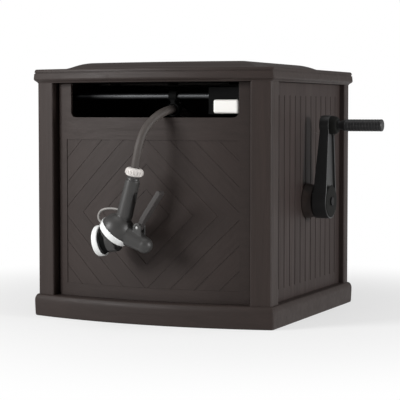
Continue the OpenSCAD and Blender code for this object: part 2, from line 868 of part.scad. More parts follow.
// Hose guide parts that slide
module guide_carriage() {
  x0 = guide_x - sleeve_len / 2;
  x1 = guide_x + sleeve_len / 2;
  color("#161616") difference() {
    union() {
      x_rod(sleeve_r, x0, x1, rod_y, rod_z);
      y_rod(eye_r, rod_y - eye_len / 2, rod_y + eye_len / 2, guide_x, eye_z);
      span_box(guide_x - hanger_w / 2, guide_x + hanger_w / 2, rod_y - eye_len / 2, rod_y + eye_len / 2, eye_z, rod_z);
    }
    x_rod(rod_r + run_fit, x0 - over, x1 + over, rod_y, rod_z);
    y_rod(eyelet_r + eyelet_wall, rod_y - eye_len, rod_y + eye_len, guide_x, eye_z);
  }
}

module guide_eyelet() {
  y0 = rod_y - eye_len / 2;
  color("#1e1e1e") difference() {
    y_rod(eyelet_r + eyelet_wall, y0, y0 + eye_len, guide_x, eye_z);
    y_rod(eyelet_r, y0 - over, y0 + eye_len + over, guide_x, eye_z);
  }
}

module hose_run() { color("#4f4a47") tube(run_route, hose_r, run_sides, [1, 0, 0]); }

// Coupling and nozzle: the frame below hangs from the hose end, with its Z axis back up the hose
module at_drop() {
  translate(run_end) rotate([0, drop_tilt, 0]) children();
}

module hose_coupling() {
  color("#c3beba") at_drop() translate([0, 0, -coupling_len]) rotate_extrude()
    polygon([
      [0, 0], [coupling_r - coupling_lip, 0], [coupling_r, coupling_lip], [coupling_r, coupling_len - 2 * coupling_lip],
      [coupling_r - 2 * coupling_lip, coupling_len], [0, coupling_len]
    ]);
}

module coupling_insert() {
  color("#2a2a2a") at_drop() translate([0, 0, -coupling_len - insert_len]) cylinder(r = insert_r, h = insert_len);
}

// The nozzle's own frame: its Z axis runs up the grip and X points away from the spray
module at_nozzle() {
  at_drop() translate([0, 0, -coupling_len - insert_len]) rotate([0, grip_tilt - drop_tilt, 0]) children();
}

module at_bulb() {
  at_nozzle() translate([0, 0, -nozzle_grip_len]) rotate([0, -grip_tilt, 0]) translate([-bulb_back, 0, -bulb_drop]) children();
}

module at_spray() {
  at_bulb() translate([0, 0, -spray_drop]) rotate([0, -90 - spray_tilt, 0]) children();
}

module at_pivot() {
  at_bulb() translate([pivot_x, 0, pivot_up]) children();
}

module nozzle_body() {
  color("#3c3b3a") difference() {
    union() {
      hull() {
        at_drop() translate([0, 0, -coupling_len - insert_len - grip_shoulder])
          cylinder(r = nozzle_grip_top_r, h = grip_shoulder, $fn = 32);
        at_nozzle() translate([0, 0, -nozzle_grip_len]) sphere(r = nozzle_grip_low_r, $fn = 32);
      }
      difference() {
        at_bulb() sphere(r = bulb_r);
        at_spray() translate([0, 0, dial_start]) cylinder(r = dial_r + 2 * soft_gap, h = dial_len);
      }
      at_bulb() rotate([0, 90 + barrel_dip, 0]) cylinder(r1 = waist_r, r2 = barrel_end_r, h = barrel_len);
      at_bulb() translate([barrel_x, 0, -barrel_drop]) sphere(r = barrel_r);
      at_spray() cylinder(r = dial_root_r, h = dial_start);
      at_spray() cylinder(r = stem_r, h = dial_start + stem_len);
      for (s = [0, 1]) mirror_y(s) lug();
    }
    at_pivot() y_rod(pin_r, -bulb_r, bulb_r);
    at_pivot() span_box(-lug_r - 3, bulb_r, -lever_w / 2 - 0.5, lever_w / 2 + 0.5, -lug_r - 1, 2 * bulb_r);
  }
}

// Mirrors about the nozzle's middle plane
module mirror_y(s) {
  translate([0, run_end[1], 0]) mirror([0, s, 0]) translate([0, -run_end[1], 0]) children();
}

module lug() {
  at_pivot() {
    y_rod(lug_r, lever_w / 2 + 0.5, lever_w / 2 + 0.5 + lug_t);
    span_box(-lug_r, lug_r, lever_w / 2 + 0.5, lever_w / 2 + 0.5 + lug_t, -pivot_up - barrel_drop, 0);
  }
}

module nozzle_collar() {
  color("#d9dcdb") at_bulb() rotate([0, -90 - collar_tilt, 0]) difference() {
    translate([0, 0, collar_back]) cylinder(r1 = collar_r, r2 = collar_end_r, h = collar_w);
    sphere(r = bulb_r);
  }
}

module trigger_pin() {
  half = lever_w / 2 + 0.5 + lug_t;
  color("silver") at_pivot() y_rod(pin_r, -half, half);
}

module nozzle_trigger() {
  color("#454240") at_pivot() rotate([0, lever_lean, 0]) difference() {
    union() {
      y_rod(lever_root_r, -lever_w / 2, lever_w / 2);
      span_box(-lever_t / 2, lever_t / 2, -lever_w / 2, lever_w / 2, 0, lever_len);
      span_box(-lever_t / 2, lever_t / 2, -lever_flare_w / 2, lever_flare_w / 2, lever_root_r + lug_r, lever_len);
      y_rod(lever_t / 2, -lever_flare_w / 2, lever_flare_w / 2, 0, lever_len);
    }
    y_rod(pin_r + run_fit, -lever_w, lever_w);
  }
}

module spray_dial() {
  color("#22211f") at_spray() translate([0, 0, dial_start + soft_gap]) difference() {
    cylinder(r1 = dial_root_r, r2 = dial_r, h = dial_len);
    translate([0, 0, -over]) cylinder(r = stem_r + run_fit, h = stem_len + over + soft_gap);
  }
}

module dial_bezel() {
  color("#d9dcdb") at_spray() translate([0, 0, dial_start + soft_gap + dial_len - bezel_w + 2]) difference() {
    cylinder(r = bezel_r, h = bezel_w);
    translate([0, 0, -over]) cylinder(r = dial_r, h = bezel_w + 2 * over);
  }
}

base_tray();
front_panel();
back_panel();
left_panel();
right_panel();
front_left_post();
front_right_post();
back_left_post();
back_right_post();
left_bearing();
right_bearing();
bearing_cap();
water_inlet();
inlet_seal();
inlet_screws();
guide_rod();
left_rod_bracket();
right_rod_bracket();
guide_stop();
hinge_brackets();
hinge_screws();
hinge_pins();
lid_shell();
lid_liner();
lid_hinge_leaves();
drum();
left_flange();
right_flange();
water_spigot();
crank_axle();
outlet_elbow();
hose_core();
hose_winding();
crank_hub();
crank_arm();
crank_screw();
grip_spindle();
crank_grip();
grip_cap();
guide_carriage();
guide_eyelet();
hose_run();
hose_coupling();
coupling_insert();
nozzle_body();
nozzle_collar();
trigger_pin();
nozzle_trigger();
spray_dial();
dial_bezel();
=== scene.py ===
import logging
import math
from collections.abc import Callable, Sequence
from dataclasses import dataclass, field
from enum import Enum
from functools import cache
from typing import ClassVar

import bmesh
import bpy
from mathutils import Matrix, Vector


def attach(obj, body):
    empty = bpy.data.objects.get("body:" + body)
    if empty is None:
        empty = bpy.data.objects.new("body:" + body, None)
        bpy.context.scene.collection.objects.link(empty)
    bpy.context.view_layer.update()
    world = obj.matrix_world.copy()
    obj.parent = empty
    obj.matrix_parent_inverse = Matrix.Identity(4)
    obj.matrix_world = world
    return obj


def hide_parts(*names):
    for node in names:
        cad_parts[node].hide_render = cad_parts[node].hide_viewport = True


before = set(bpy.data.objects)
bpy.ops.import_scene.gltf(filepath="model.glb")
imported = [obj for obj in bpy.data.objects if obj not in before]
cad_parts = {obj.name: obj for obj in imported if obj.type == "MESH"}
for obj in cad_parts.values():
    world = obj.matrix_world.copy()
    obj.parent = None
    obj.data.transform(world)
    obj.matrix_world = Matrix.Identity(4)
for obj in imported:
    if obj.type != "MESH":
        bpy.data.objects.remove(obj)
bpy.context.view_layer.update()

LOG = logging.getLogger("hose_reel_box")
WELD_DISTANCE = 2e-6  # vertices of a CAD mesh that lie closer count as one
LATHE_WELD = 1e-6  # the same for vertices on the axis of a turned shape
FLAT_DEGREES = 0.3  # faces that meet at a smaller angle count as one
CURVE_EXCESS = 1.006  # a smooth curve's length over the straight lines between its points
WHITE_LIGHT = (1.0, 1.0, 1.0, 1.0)

Pair = tuple[float, float]
Point = tuple[float, float, float]
Profile = Sequence[Pair]
Rgb = tuple[int, int, int]
Shape = bmesh.types.BMesh
Edge = bmesh.types.BMEdge
Piece = bpy.types.Object
Node = bpy.types.Node
Socket = bpy.types.NodeSocket
EdgeTest = Callable[[Edge], bool]


def linear(colour: Rgb) -> tuple[float, float, float, float]:
    """Turns a screen colour of 0 to 255 into the linear colour with alpha that shaders take."""
    steps = [c / 255 for c in colour]
    red, green, blue = (s / 12.92 if s <= 0.04045 else ((s + 0.055) / 1.055) ** 2.4 for s in steps)
    return red, green, blue, 1.0


class Wiring:
    """Adds nodes to one node tree and joins their sockets."""

    def __init__(self, tree: bpy.types.NodeTree) -> None:
        """Starts on an emptied tree."""
        self.tree = tree
        tree.nodes.clear()

    def add(self, kind: str, settings: dict[str, object] | None = None, **inputs: object) -> Node:
        """Adds a node.

        Args:
            kind: The node's type name.
            settings: Properties to set on the node itself.
            inputs: A value or an output socket for each named input, with _ for a space.

        Returns:
            The new node.
        """
        node = self.tree.nodes.new(kind)
        for key, value in (settings or {}).items():
            setattr(node, key, value)
        for name, value in inputs.items():
            self.feed(node.inputs[name.replace("_", " ")], value)
        return node

    def feed(self, socket: Socket, value: object) -> None:
        """Links an output to a socket, or sets the socket's own value."""
        if isinstance(value, Socket):
            self.tree.links.new(value, socket)
        else:
            socket.default_value = value

    def math(self, operation: str, first: object, second: object = 0.0) -> Socket:
        """Adds a Math node for two numbers or sockets, and gives its result."""
        node = self.add("ShaderNodeMath", {"operation": operation})
        self.feed(node.inputs[0], first)
        self.feed(node.inputs[1], second)
        return node.outputs[0]

    def span(self, value: object, low: float, high: float) -> Socket:
        """Spreads a value of 0 to 1 from a low to a high number, and gives the result."""
        node = self.add("ShaderNodeMapRange", Value=value, To_Min=low, To_Max=high)
        return node.outputs["Result"]

    def blend(self, factor: object, first: object, second: object, mode: str = "MIX") -> Socket:
        """Blends two colours, with the second one's share as the factor, and gives the result."""
        node = self.add("ShaderNodeMix", {"data_type": "RGBA", "blend_type": mode})
        self.feed(node.inputs[0], factor)
        self.feed(node.inputs[6], first)
        self.feed(node.inputs[7], second)
        return node.outputs[2]


class Groups:
    """The shader node groups that several finishes share."""

    @staticmethod
    def _open(name: str, outputs: Sequence[str]) -> tuple[Wiring, Socket, Node]:
        """Starts a group with one vector input, and gives its wiring, its vector and its output node."""
        tree = bpy.data.node_groups.new(name, "ShaderNodeTree")
        tree.interface.new_socket("Vector", in_out="INPUT", socket_type="NodeSocketVector")
        for output in outputs:
            tree.interface.new_socket(output, in_out="OUTPUT", socket_type="NodeSocketFloat")
        wiring = Wiring(tree)
        vector = wiring.add("NodeGroupInput").outputs["Vector"]
        return wiring, vector, wiring.add("NodeGroupOutput")

    @classmethod
    @cache
    def grain(cls) -> bpy.types.NodeTree:
        """Moulded wood grain that runs along X, as a shade and a height."""
        broad_share, fine_share = 0.6, 0.4
        w, vector, out = cls._open("moulded_grain", ("Shade", "Height"))
        wide = w.add("ShaderNodeMapping", Vector=vector, Scale=(5.0, 70.0, 70.0))
        broad = w.add("ShaderNodeTexNoise", Vector=wide.outputs[0], Scale=1.0, Detail=4.0, Distortion=0.9)
        slim = w.add("ShaderNodeMapping", Vector=vector, Scale=(14.0, 420.0, 420.0))
        fine = w.add("ShaderNodeTexNoise", Vector=slim.outputs[0], Scale=1.0, Detail=3.0, Distortion=0.3)
        both = w.math("ADD", w.math("MULTIPLY", broad.outputs["Fac"], broad_share),
                      w.math("MULTIPLY", fine.outputs["Fac"], fine_share))
        shade = w.add("ShaderNodeMapRange", Value=both, From_Min=0.32, From_Max=0.68)
        w.feed(out.inputs["Shade"], shade.outputs[0])
        w.feed(out.inputs["Height"], both)
        return out.id_data

    @classmethod
    @cache
    def drift(cls) -> bpy.types.NodeTree:
        """Slow change of tone over a moulding, with faint scuffs."""
        w, vector, out = cls._open("tone_drift", ("Shade", "Scuff"))
        slow = w.add("ShaderNodeTexNoise", Vector=vector, Scale=6.0, Detail=2.0)
        w.feed(out.inputs["Shade"], slow.outputs["Fac"])
        long_way = w.add("ShaderNodeMapping", Vector=vector, Scale=(60.0, 60.0, 14.0),
                         Rotation=(0.3, 0.5, 0.2))
        marks = w.add("ShaderNodeTexNoise", Vector=long_way.outputs[0], Scale=2.0, Detail=6.0, Distortion=1.5)
        mask = w.add("ShaderNodeMapRange", Value=marks.outputs["Fac"], From_Min=0.62, From_Max=0.8)
        w.feed(out.inputs["Scuff"], mask.outputs[0])
        return out.id_data

    @classmethod
    @cache
    def pebble(cls) -> bpy.types.NodeTree:
        """Fine pebbled texture of a moulding tool."""
        w, vector, out = cls._open("tool_pebble", ("Height",))
        bits = w.add("ShaderNodeTexVoronoi", {"feature": "SMOOTH_F1"}, Vector=vector, Scale=900.0)
        w.feed(out.inputs["Height"], bits.outputs["Distance"])
        return out.id_data


class Grain(Enum):
    """Which way a moulded grain runs."""

    LEVEL = "along X"
    UPRIGHT = "along Z"
    DIAMOND = "along the boards of the front panel"


@dataclass(frozen=True)
class Finish:
    """A surface finish.

    Attributes:
        name: The material's name.
        slot: The record's material slot; not used.
        colour: Main screen colour.
        second: Screen colour that it drifts to.
        roughness: Middle of its roughness.
        sheen: Strength of its mirror reflection.
        wander: How far its roughness wanders either way.
        scuffing: Roughness that its scuffs add.
    """

    name: str
    slot: str
    colour: Rgb
    second: Rgb
    roughness: float
    sheen: float = field(default=0.35, kw_only=True)
    wander: ClassVar[float] = 0.05
    scuffing: ClassVar[float] = 0.12

    def material(self) -> bpy.types.Material:
        """Gives the material, which is made once."""
        found = bpy.data.materials.get(self.name)
        return found or self._make()

    def _range(self) -> Pair:
        """Gives its least and its greatest roughness."""
        return self.roughness - self.wander, self.roughness + self.wander

    def _start(self) -> tuple[bpy.types.Material, Wiring, Node, Socket]:
        """Starts a material with its shader.

        Returns:
            The material, its wiring, its shader and the Object coordinates.
        """
        material = bpy.data.materials.new(self.name)
        material.use_nodes = True
        material.diffuse_color = linear(self.colour)
        w = Wiring(material.node_tree)
        shader = w.add("ShaderNodeBsdfPrincipled", Specular_IOR_Level=self.sheen)
        w.feed(w.add("ShaderNodeOutputMaterial").inputs["Surface"], shader.outputs[0])
        return material, w, shader, w.add("ShaderNodeTexCoord").outputs["Object"]

    def _make(self) -> bpy.types.Material:
        """Makes a plain moulded surface with a pebbled texture."""
        material, w, shader, place = self._start()
        drift = w.add("ShaderNodeGroup", {"node_tree": Groups.drift()}, Vector=place)
        pebble = w.add("ShaderNodeGroup", {"node_tree": Groups.pebble()}, Vector=place)
        colour = w.blend(drift.outputs["Shade"], linear(self.colour), linear(self.second))
        w.feed(shader.inputs["Base Color"], colour)
        rough = w.math("ADD", w.span(drift.outputs["Shade"], *self._range()),
                       w.math("MULTIPLY", drift.outputs["Scuff"], self.scuffing))
        w.feed(shader.inputs["Roughness"], rough)
        bump = w.add("ShaderNodeBump", Height=pebble.outputs["Height"], Strength=0.12, Distance=0.0004)
        w.feed(shader.inputs["Normal"], bump.outputs[0])
        return material


@dataclass(frozen=True)
class GrainedResin(Finish):
    """Brown resin with a moulded wood grain.

    Attributes:
        grain: Which way the grain runs.
        plank: Width of its planks across Y, or 0 for none.
        first_groove: Y of the groove that the planks count from.
        boards: Half width, half height and middle height of the field of diamond boards.
        board_step: Width of a board along the floor.
        board_tones: Darkest and lightest tone of a plank or board.
        drift_tones: What slow drift takes from a tone, and adds to it.
    """

    grain: Grain = Grain.LEVEL
    plank: float = 0.0
    first_groove: float = -0.2
    boards: Point = (0.2, 0.1535, 0.2275)
    board_step: float = 0.052
    scuffing: ClassVar[float] = 0.1
    board_tones: ClassVar[Pair] = (0.94, 1.05)
    drift_tones: ClassVar[Pair] = (-0.06, 0.06)

    def _directed(self, w: Wiring, place: Socket) -> tuple[object, object]:
        """Turns Object coordinates so that X runs along the grain.

        Args:
            w: The material's wiring.
            place: Object coordinates.

        Returns:
            The turned vector, and the running number of the plank or board.
        """
        axes = w.add("ShaderNodeSeparateXYZ", Vector=place)
        x, y, z = axes.outputs
        along, across, up = (z, x, y) if self.grain is Grain.UPRIGHT else (x, y, z)
        number: object = 0.0
        if self.plank:
            number = w.math("FLOOR", w.math("DIVIDE", w.math("SUBTRACT", y, self.first_groove), self.plank))
        vector = w.add("ShaderNodeCombineXYZ", X=along, Y=across, Z=up).outputs[0]
        if self.grain is not Grain.DIAMOND:
            return vector, number
        half_w, half_h, middle = self.boards
        out = w.math("ABSOLUTE", x)
        rise = w.math("ABSOLUTE", w.math("SUBTRACT", z, middle))
        inside = w.math("MULTIPLY", w.math("LESS_THAN", out, half_w), w.math("LESS_THAN", rise, half_h))
        both = w.math("ADD", out, rise)
        board = w.add("ShaderNodeCombineXYZ", X=w.math("SUBTRACT", out, rise), Y=both, Z=y).outputs[0]
        mix = w.add("ShaderNodeMix", {"data_type": "VECTOR"})
        for socket, value in zip((mix.inputs[0], mix.inputs[4], mix.inputs[5]), (inside, vector, board)):
            w.feed(socket, value)
        count = w.math("ADD", 1.0, w.math("FLOOR", w.math("DIVIDE", both, self.board_step)))
        return mix.outputs[1], w.math("MULTIPLY", inside, count)

    def _make(self) -> bpy.types.Material:
        """Makes the grained surface, with a tone of its own on each plank or board."""
        material, w, shader, place = self._start()
        vector, number = self._directed(w, place)
        grain = w.add("ShaderNodeGroup", {"node_tree": Groups.grain()}, Vector=vector)
        drift = w.add("ShaderNodeGroup", {"node_tree": Groups.drift()}, Vector=place)
        colour = w.blend(grain.outputs["Shade"], linear(self.second), linear(self.colour))
        chance = w.add("ShaderNodeTexWhiteNoise", {"noise_dimensions": "1D"}, W=number)
        tone = w.math("ADD", w.span(chance.outputs["Value"], *self.board_tones),
                      w.span(drift.outputs["Shade"], *self.drift_tones))
        grey = w.add("ShaderNodeCombineColor", Red=tone, Green=tone, Blue=tone)
        w.feed(shader.inputs["Base Color"], w.blend(1.0, colour, grey.outputs[0], "MULTIPLY"))
        rough = w.math("ADD", w.span(grain.outputs["Shade"], *reversed(self._range())),
                       w.math("MULTIPLY", drift.outputs["Scuff"], self.scuffing))
        w.feed(shader.inputs["Roughness"], rough)
        bump = w.add("ShaderNodeBump", Height=grain.outputs["Height"], Strength=0.35, Distance=0.0012)
        w.feed(shader.inputs["Normal"], bump.outputs[0])
        return material


@dataclass(frozen=True)
class Metal(Finish):
    """Plated or turned metal with fine tool marks, and where set a painted shade that darkens it along X.

    Attributes:
        marks: Strength of the tool marks.
        painted_shade: Where along X a painted shade darkens it most, and where that shade ends, or None.
        painted_shade_share: Share of its colour that is left where the painted shade is darkest.
    """

    marks: float = 0.1
    painted_shade: Pair | None = None
    wander: ClassVar[float] = 0.08
    painted_shade_share: ClassVar[float] = 0.03

    def _make(self) -> bpy.types.Material:
        """Makes the metal."""
        material, w, shader, place = self._start()
        shader.inputs["Metallic"].default_value = 1.0
        drift = w.add("ShaderNodeGroup", {"node_tree": Groups.drift()}, Vector=place)
        colour = w.blend(drift.outputs["Shade"], linear(self.colour), linear(self.second))
        # Painted shade: the colour darkens towards one end along X, where the surface lies in shade.
        if self.painted_shade:
            x = w.add("ShaderNodeSeparateXYZ", Vector=place).outputs[0]
            start, end = self.painted_shade
            share = w.add("ShaderNodeMapRange", Value=x, From_Min=start, From_Max=end,
                          To_Min=self.painted_shade_share).outputs[0]
            grey = w.add("ShaderNodeCombineColor", Red=share, Green=share, Blue=share)
            colour = w.blend(1.0, colour, grey.outputs[0], "MULTIPLY")
        w.feed(shader.inputs["Base Color"], colour)
        lines = w.add("ShaderNodeMapping", Vector=place, Scale=(2500.0, 60.0, 60.0))
        tool = w.add("ShaderNodeTexNoise", Vector=lines.outputs[0], Scale=1.0, Detail=2.0)
        w.feed(shader.inputs["Roughness"], w.span(tool.outputs["Fac"], *self._range()))
        bump = w.add("ShaderNodeBump", Height=tool.outputs["Fac"], Strength=self.marks, Distance=0.0002)
        w.feed(shader.inputs["Normal"], bump.outputs[0])
        return material


BROWN: tuple[Rgb, Rgb] = ((47, 38, 35), (40, 32, 29))
SHELL = GrainedResin("shell_resin", "brown_shell", *BROWN, 0.55, Grain.LEVEL, sheen=0.24)
POST = GrainedResin("post_resin", "brown_shell", *BROWN, 0.55, Grain.UPRIGHT, sheen=0.24)
FRONT = GrainedResin("board_resin", "brown_panel", *BROWN, 0.55, Grain.DIAMOND, sheen=0.24)
SIDE = GrainedResin("plank_resin", "brown_panel", (52, 44, 42), (45, 37, 35), 0.58, Grain.UPRIGHT,
                    plank=0.03185, sheen=0.15)
BACK = GrainedResin("back_resin", "brown_panel", (48, 40, 38), (41, 34, 32), 0.58, Grain.UPRIGHT, sheen=0.2)
LINER = GrainedResin("liner_resin", "brown_panel", (38, 32, 30), (32, 27, 25), 0.6, Grain.LEVEL, sheen=0.24)
BOSS = GrainedResin("boss_resin", "brown_panel", *BROWN, 0.55, Grain.UPRIGHT, sheen=0.24)
BLACK = Finish("black_nylon", "black_plastic", (38, 38, 38), (30, 30, 31), 0.42)
ARM_BLACK = Finish("crank_nylon", "black_plastic", (29, 29, 29), (22, 22, 23), 0.42)
# Near-black of the crank's ring and collar, also used for the disc of painted shade on the hub.
BLACK_AND_PAINTED_SHADE = Finish("crank_black_and_painted_shade", "black_plastic", (17, 17, 15), (12, 12, 11), 0.7, sheen=0.1)
GUIDE_BLACK = Finish("guide_nylon", "black_plastic", (11, 11, 11), (8, 8, 8), 0.7, sheen=0.05)
REEL_BLACK = Finish("reel_resin", "black_plastic", (34, 33, 33), (27, 27, 27), 0.5)
WHITE = Finish("white_acetal", "white_plastic", (246, 244, 240), (236, 234, 229), 0.35)
PALE = Finish("pale_trim", "pale_plastic", (236, 237, 236), (226, 227, 226), 0.25)
COUPLER = Finish("pale_coupling", "pale_plastic", (214, 209, 205), (204, 199, 195), 0.35)
GREY = Finish("nozzle_grip", "nozzle_grey", (58, 57, 56), (50, 49, 48), 0.42)
LEVER = Finish("nozzle_lever", "nozzle_grey", (60, 57, 56), (53, 50, 49), 0.45)
BAIL = Finish("wire_bail", "pale_plastic", (146, 143, 140), (134, 131, 128), 0.4)
HOSE = Finish("hose_vinyl", "hose", (72, 66, 63), (62, 57, 54), 0.6)
RUBBER = Finish("seal_rubber", "rubber", (28, 28, 28), (22, 22, 22), 0.6)
BRASS = Metal("turned_brass", "brass", (206, 170, 104), (188, 150, 86), 0.28)
STEEL = Metal("zinc_plate", "steel", (190, 190, 188), (170, 170, 170), 0.36)
DARK_STEEL = Metal("black_zinc", "steel", (30, 30, 31), (24, 24, 25), 0.55)
# The rod's left end takes painted shade, for the shade and the missing highlight there.
CHROME = Metal("plated_rod", "bright_steel", (76, 77, 78), (66, 67, 68), 0.5, marks=0.04,
               painted_shade=(-0.15, -0.055))


def settle(piece: Piece, body: str, stands_for: Sequence[str]) -> None:
    """Adds a piece to the scene, hangs it on its body, and hides the CAD nodes that it replaces."""
    bpy.context.scene.collection.objects.link(piece)
    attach(piece, body)
    if stands_for:
        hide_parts(*stands_for)


def place(bm: Shape, name: str, body: str, finish: Finish, stands_for: Sequence[str] = (),
          crease: float = 35.0, melt: float = 0.0) -> Piece:
    """Turns a bmesh into a piece of the part.

    Args:
        bm: The shape, which is used up.
        name: The piece's name.
        body: The body that it moves with.
        finish: Its surface.
        stands_for: CAD nodes that it replaces.
        crease: Angle in degrees past which an edge stays sharp.
        melt: Cell size for melting its forms into one soft skin, or 0 to leave them.

    Returns:
        The new object.
    """
    mesh = bpy.data.meshes.new(name)
    bm.to_mesh(mesh)
    bm.free()
    mesh.shade_smooth()
    mesh.set_sharp_from_angle(angle=math.radians(crease))
    mesh.materials.append(finish.material())
    piece = bpy.data.objects.new(name, mesh)
    if melt:
        skin = piece.modifiers.new("skin", "REMESH")
        skin.mode, skin.voxel_size, skin.use_smooth_shade = "VOXEL", melt, True
        flow = piece.modifiers.new("flow", "SMOOTH")
        flow.factor, flow.iterations = 0.5, 6
    else:
        even = piece.modifiers.new("even_shading", "WEIGHTED_NORMAL")
        even.keep_sharp, even.weight = True, 60
    settle(piece, body, stands_for)
    LOG.info("piece %s rides on %s: %d faces", name, body, len(mesh.polygons))
    return piece


def dress(finish: Finish, *nodes: str) -> None:
    """Gives CAD nodes a finish."""
    for name in nodes:
        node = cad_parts[name]
        if not node.material_slots:
            node.data.materials.append(finish.material())
        for slot in node.material_slots:
            slot.material = finish.material()
        LOG.info("node %s takes %s", name, finish.name)


def merged(node: str) -> Shape:
    """Copies a CAD node into a bmesh with joined, flat faces."""
    bm = bmesh.new()
    bm.from_mesh(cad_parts[node].data)
    bmesh.ops.remove_doubles(bm, verts=bm.verts[:], dist=WELD_DISTANCE)
    bmesh.ops.dissolve_limit(bm, angle_limit=math.radians(FLAT_DEGREES), verts=bm.verts[:], edges=bm.edges[:])
    return bm


def soften(bm: Shape, width: float, segments: int, test: EdgeTest | None = None,
           least: float = 30.0) -> None:
    """Rounds outward edges.

    Args:
        bm: The shape.
        width: Distance from the edge at which the round starts.
        segments: Faces across the round.
        test: Which edges may be rounded; all where it is None.
        least: Smallest angle in degrees that counts as an edge.
    """
    bm.normal_update()
    edges = [e for e in bm.edges if len(e.link_faces) == 2
             and e.calc_face_angle_signed(0.0) > math.radians(least) and (test is None or test(e))]
    if edges:
        bmesh.ops.bevel(bm, geom=edges, offset=width, offset_type="OFFSET", segments=segments, profile=0.5,
                        affect="EDGES", clamp_overlap=False, material=-1)


def rounded_copy(node: str, body: str, finish: Finish, width: float, segments: int = 2,
                 test: EdgeTest | None = None) -> None:
    """Replaces a CAD node by a copy with rounded edges.

    Args:
        node: The CAD node.
        body: The body that it moves with.
        finish: Its surface.
        width: Size of the rounds.
        segments: Faces across a round.
        test: Which edges may be rounded.
    """
    bm = merged(node)
    soften(bm, width, segments, test)
    place(bm, node + "_dressed", body, finish, (node,))


def add_bar(bm: Shape, low: Point, high: Point) -> list[bmesh.types.BMVert]:
    """Adds a square-edged bar between its least and its greatest corner, and gives its vertices."""
    size = Vector(high) - Vector(low)
    grow = Matrix.Translation((Vector(high) + Vector(low)) / 2) @ Matrix.Diagonal((*size, 1.0))
    return bmesh.ops.create_cube(bm, size=1.0, matrix=grow)["verts"]


def turned(bm: Shape, profile: Profile, matrix: Matrix, steps: int = 48) -> None:
    """Turns a profile about an axis, as on a lathe.

    Args:
        bm: Shape to add it to.
        profile: Pairs of the distance along the axis and the radius.
        matrix: Place of the axis, which is its Z axis.
        steps: Faces round the axis.
    """
    known = set(bm.verts)
    line = [bm.verts.new((radius, 0.0, along)) for along, radius in profile]
    edges = [bm.edges.new(pair) for pair in zip(line, line[1:])]
    bmesh.ops.spin(bm, geom=line + edges, cent=(0.0, 0.0, 0.0), axis=(0.0, 0.0, 1.0), angle=2 * math.pi,
                   steps=steps, use_merge=True, use_duplicate=False)
    fresh = [v for v in bm.verts if v not in known]
    bmesh.ops.remove_doubles(bm, verts=fresh, dist=LATHE_WELD)
    fresh = [v for v in bm.verts if v not in known]
    bmesh.ops.transform(bm, matrix=matrix, verts=fresh)
    bmesh.ops.recalc_face_normals(bm, faces=[f for f in bm.faces if all(v not in known for v in f.verts)])


def along_x(x: float, y: float, z: float, turn: float = 90.0) -> Matrix:
    """Gives a place whose Z axis points along X, or against it for a turn of -90 degrees."""
    return Matrix.Translation((x, y, z)) @ Matrix.Rotation(math.radians(turn), 4, "Y")


def repeated(pattern: Profile, start: float, pitch: float, count: int) -> list[Pair]:
    """Repeats a short stretch of a profile along its axis."""
    return [(start + k * pitch + along, radius) for k in range(count) for along, radius in pattern]


def bent_tube(points: Sequence[Point], name: str, body: str, finish: Finish, radius: float, steps: int,
              stands_for: Sequence[str] = ()) -> Piece:
    """Lays a smooth round tube through points.

    Args:
        points: Points that it passes through.
        name: The piece's name.
        body: The body that it moves with.
        finish: Its surface.
        radius: Its outside radius.
        steps: Segments from point to point.
        stands_for: CAD nodes that it replaces.

    Returns:
        The curve object.
    """
    curve = bpy.data.curves.new(name, "CURVE")
    curve.dimensions = "3D"
    curve.resolution_u = steps
    curve.bevel_depth = radius
    curve.bevel_resolution = 4
    curve.use_fill_caps = True
    spline = curve.splines.new("BEZIER")
    spline.bezier_points.add(len(points) - 1)
    for knot, point in zip(spline.bezier_points, points):
        knot.co = point
        knot.handle_left_type = knot.handle_right_type = "AUTO"
    curve.materials.append(finish.material())
    piece = bpy.data.objects.new(name, curve)
    settle(piece, body, stands_for)
    LOG.info("tube %s rides on %s: %d points", name, body, len(points))
    return piece


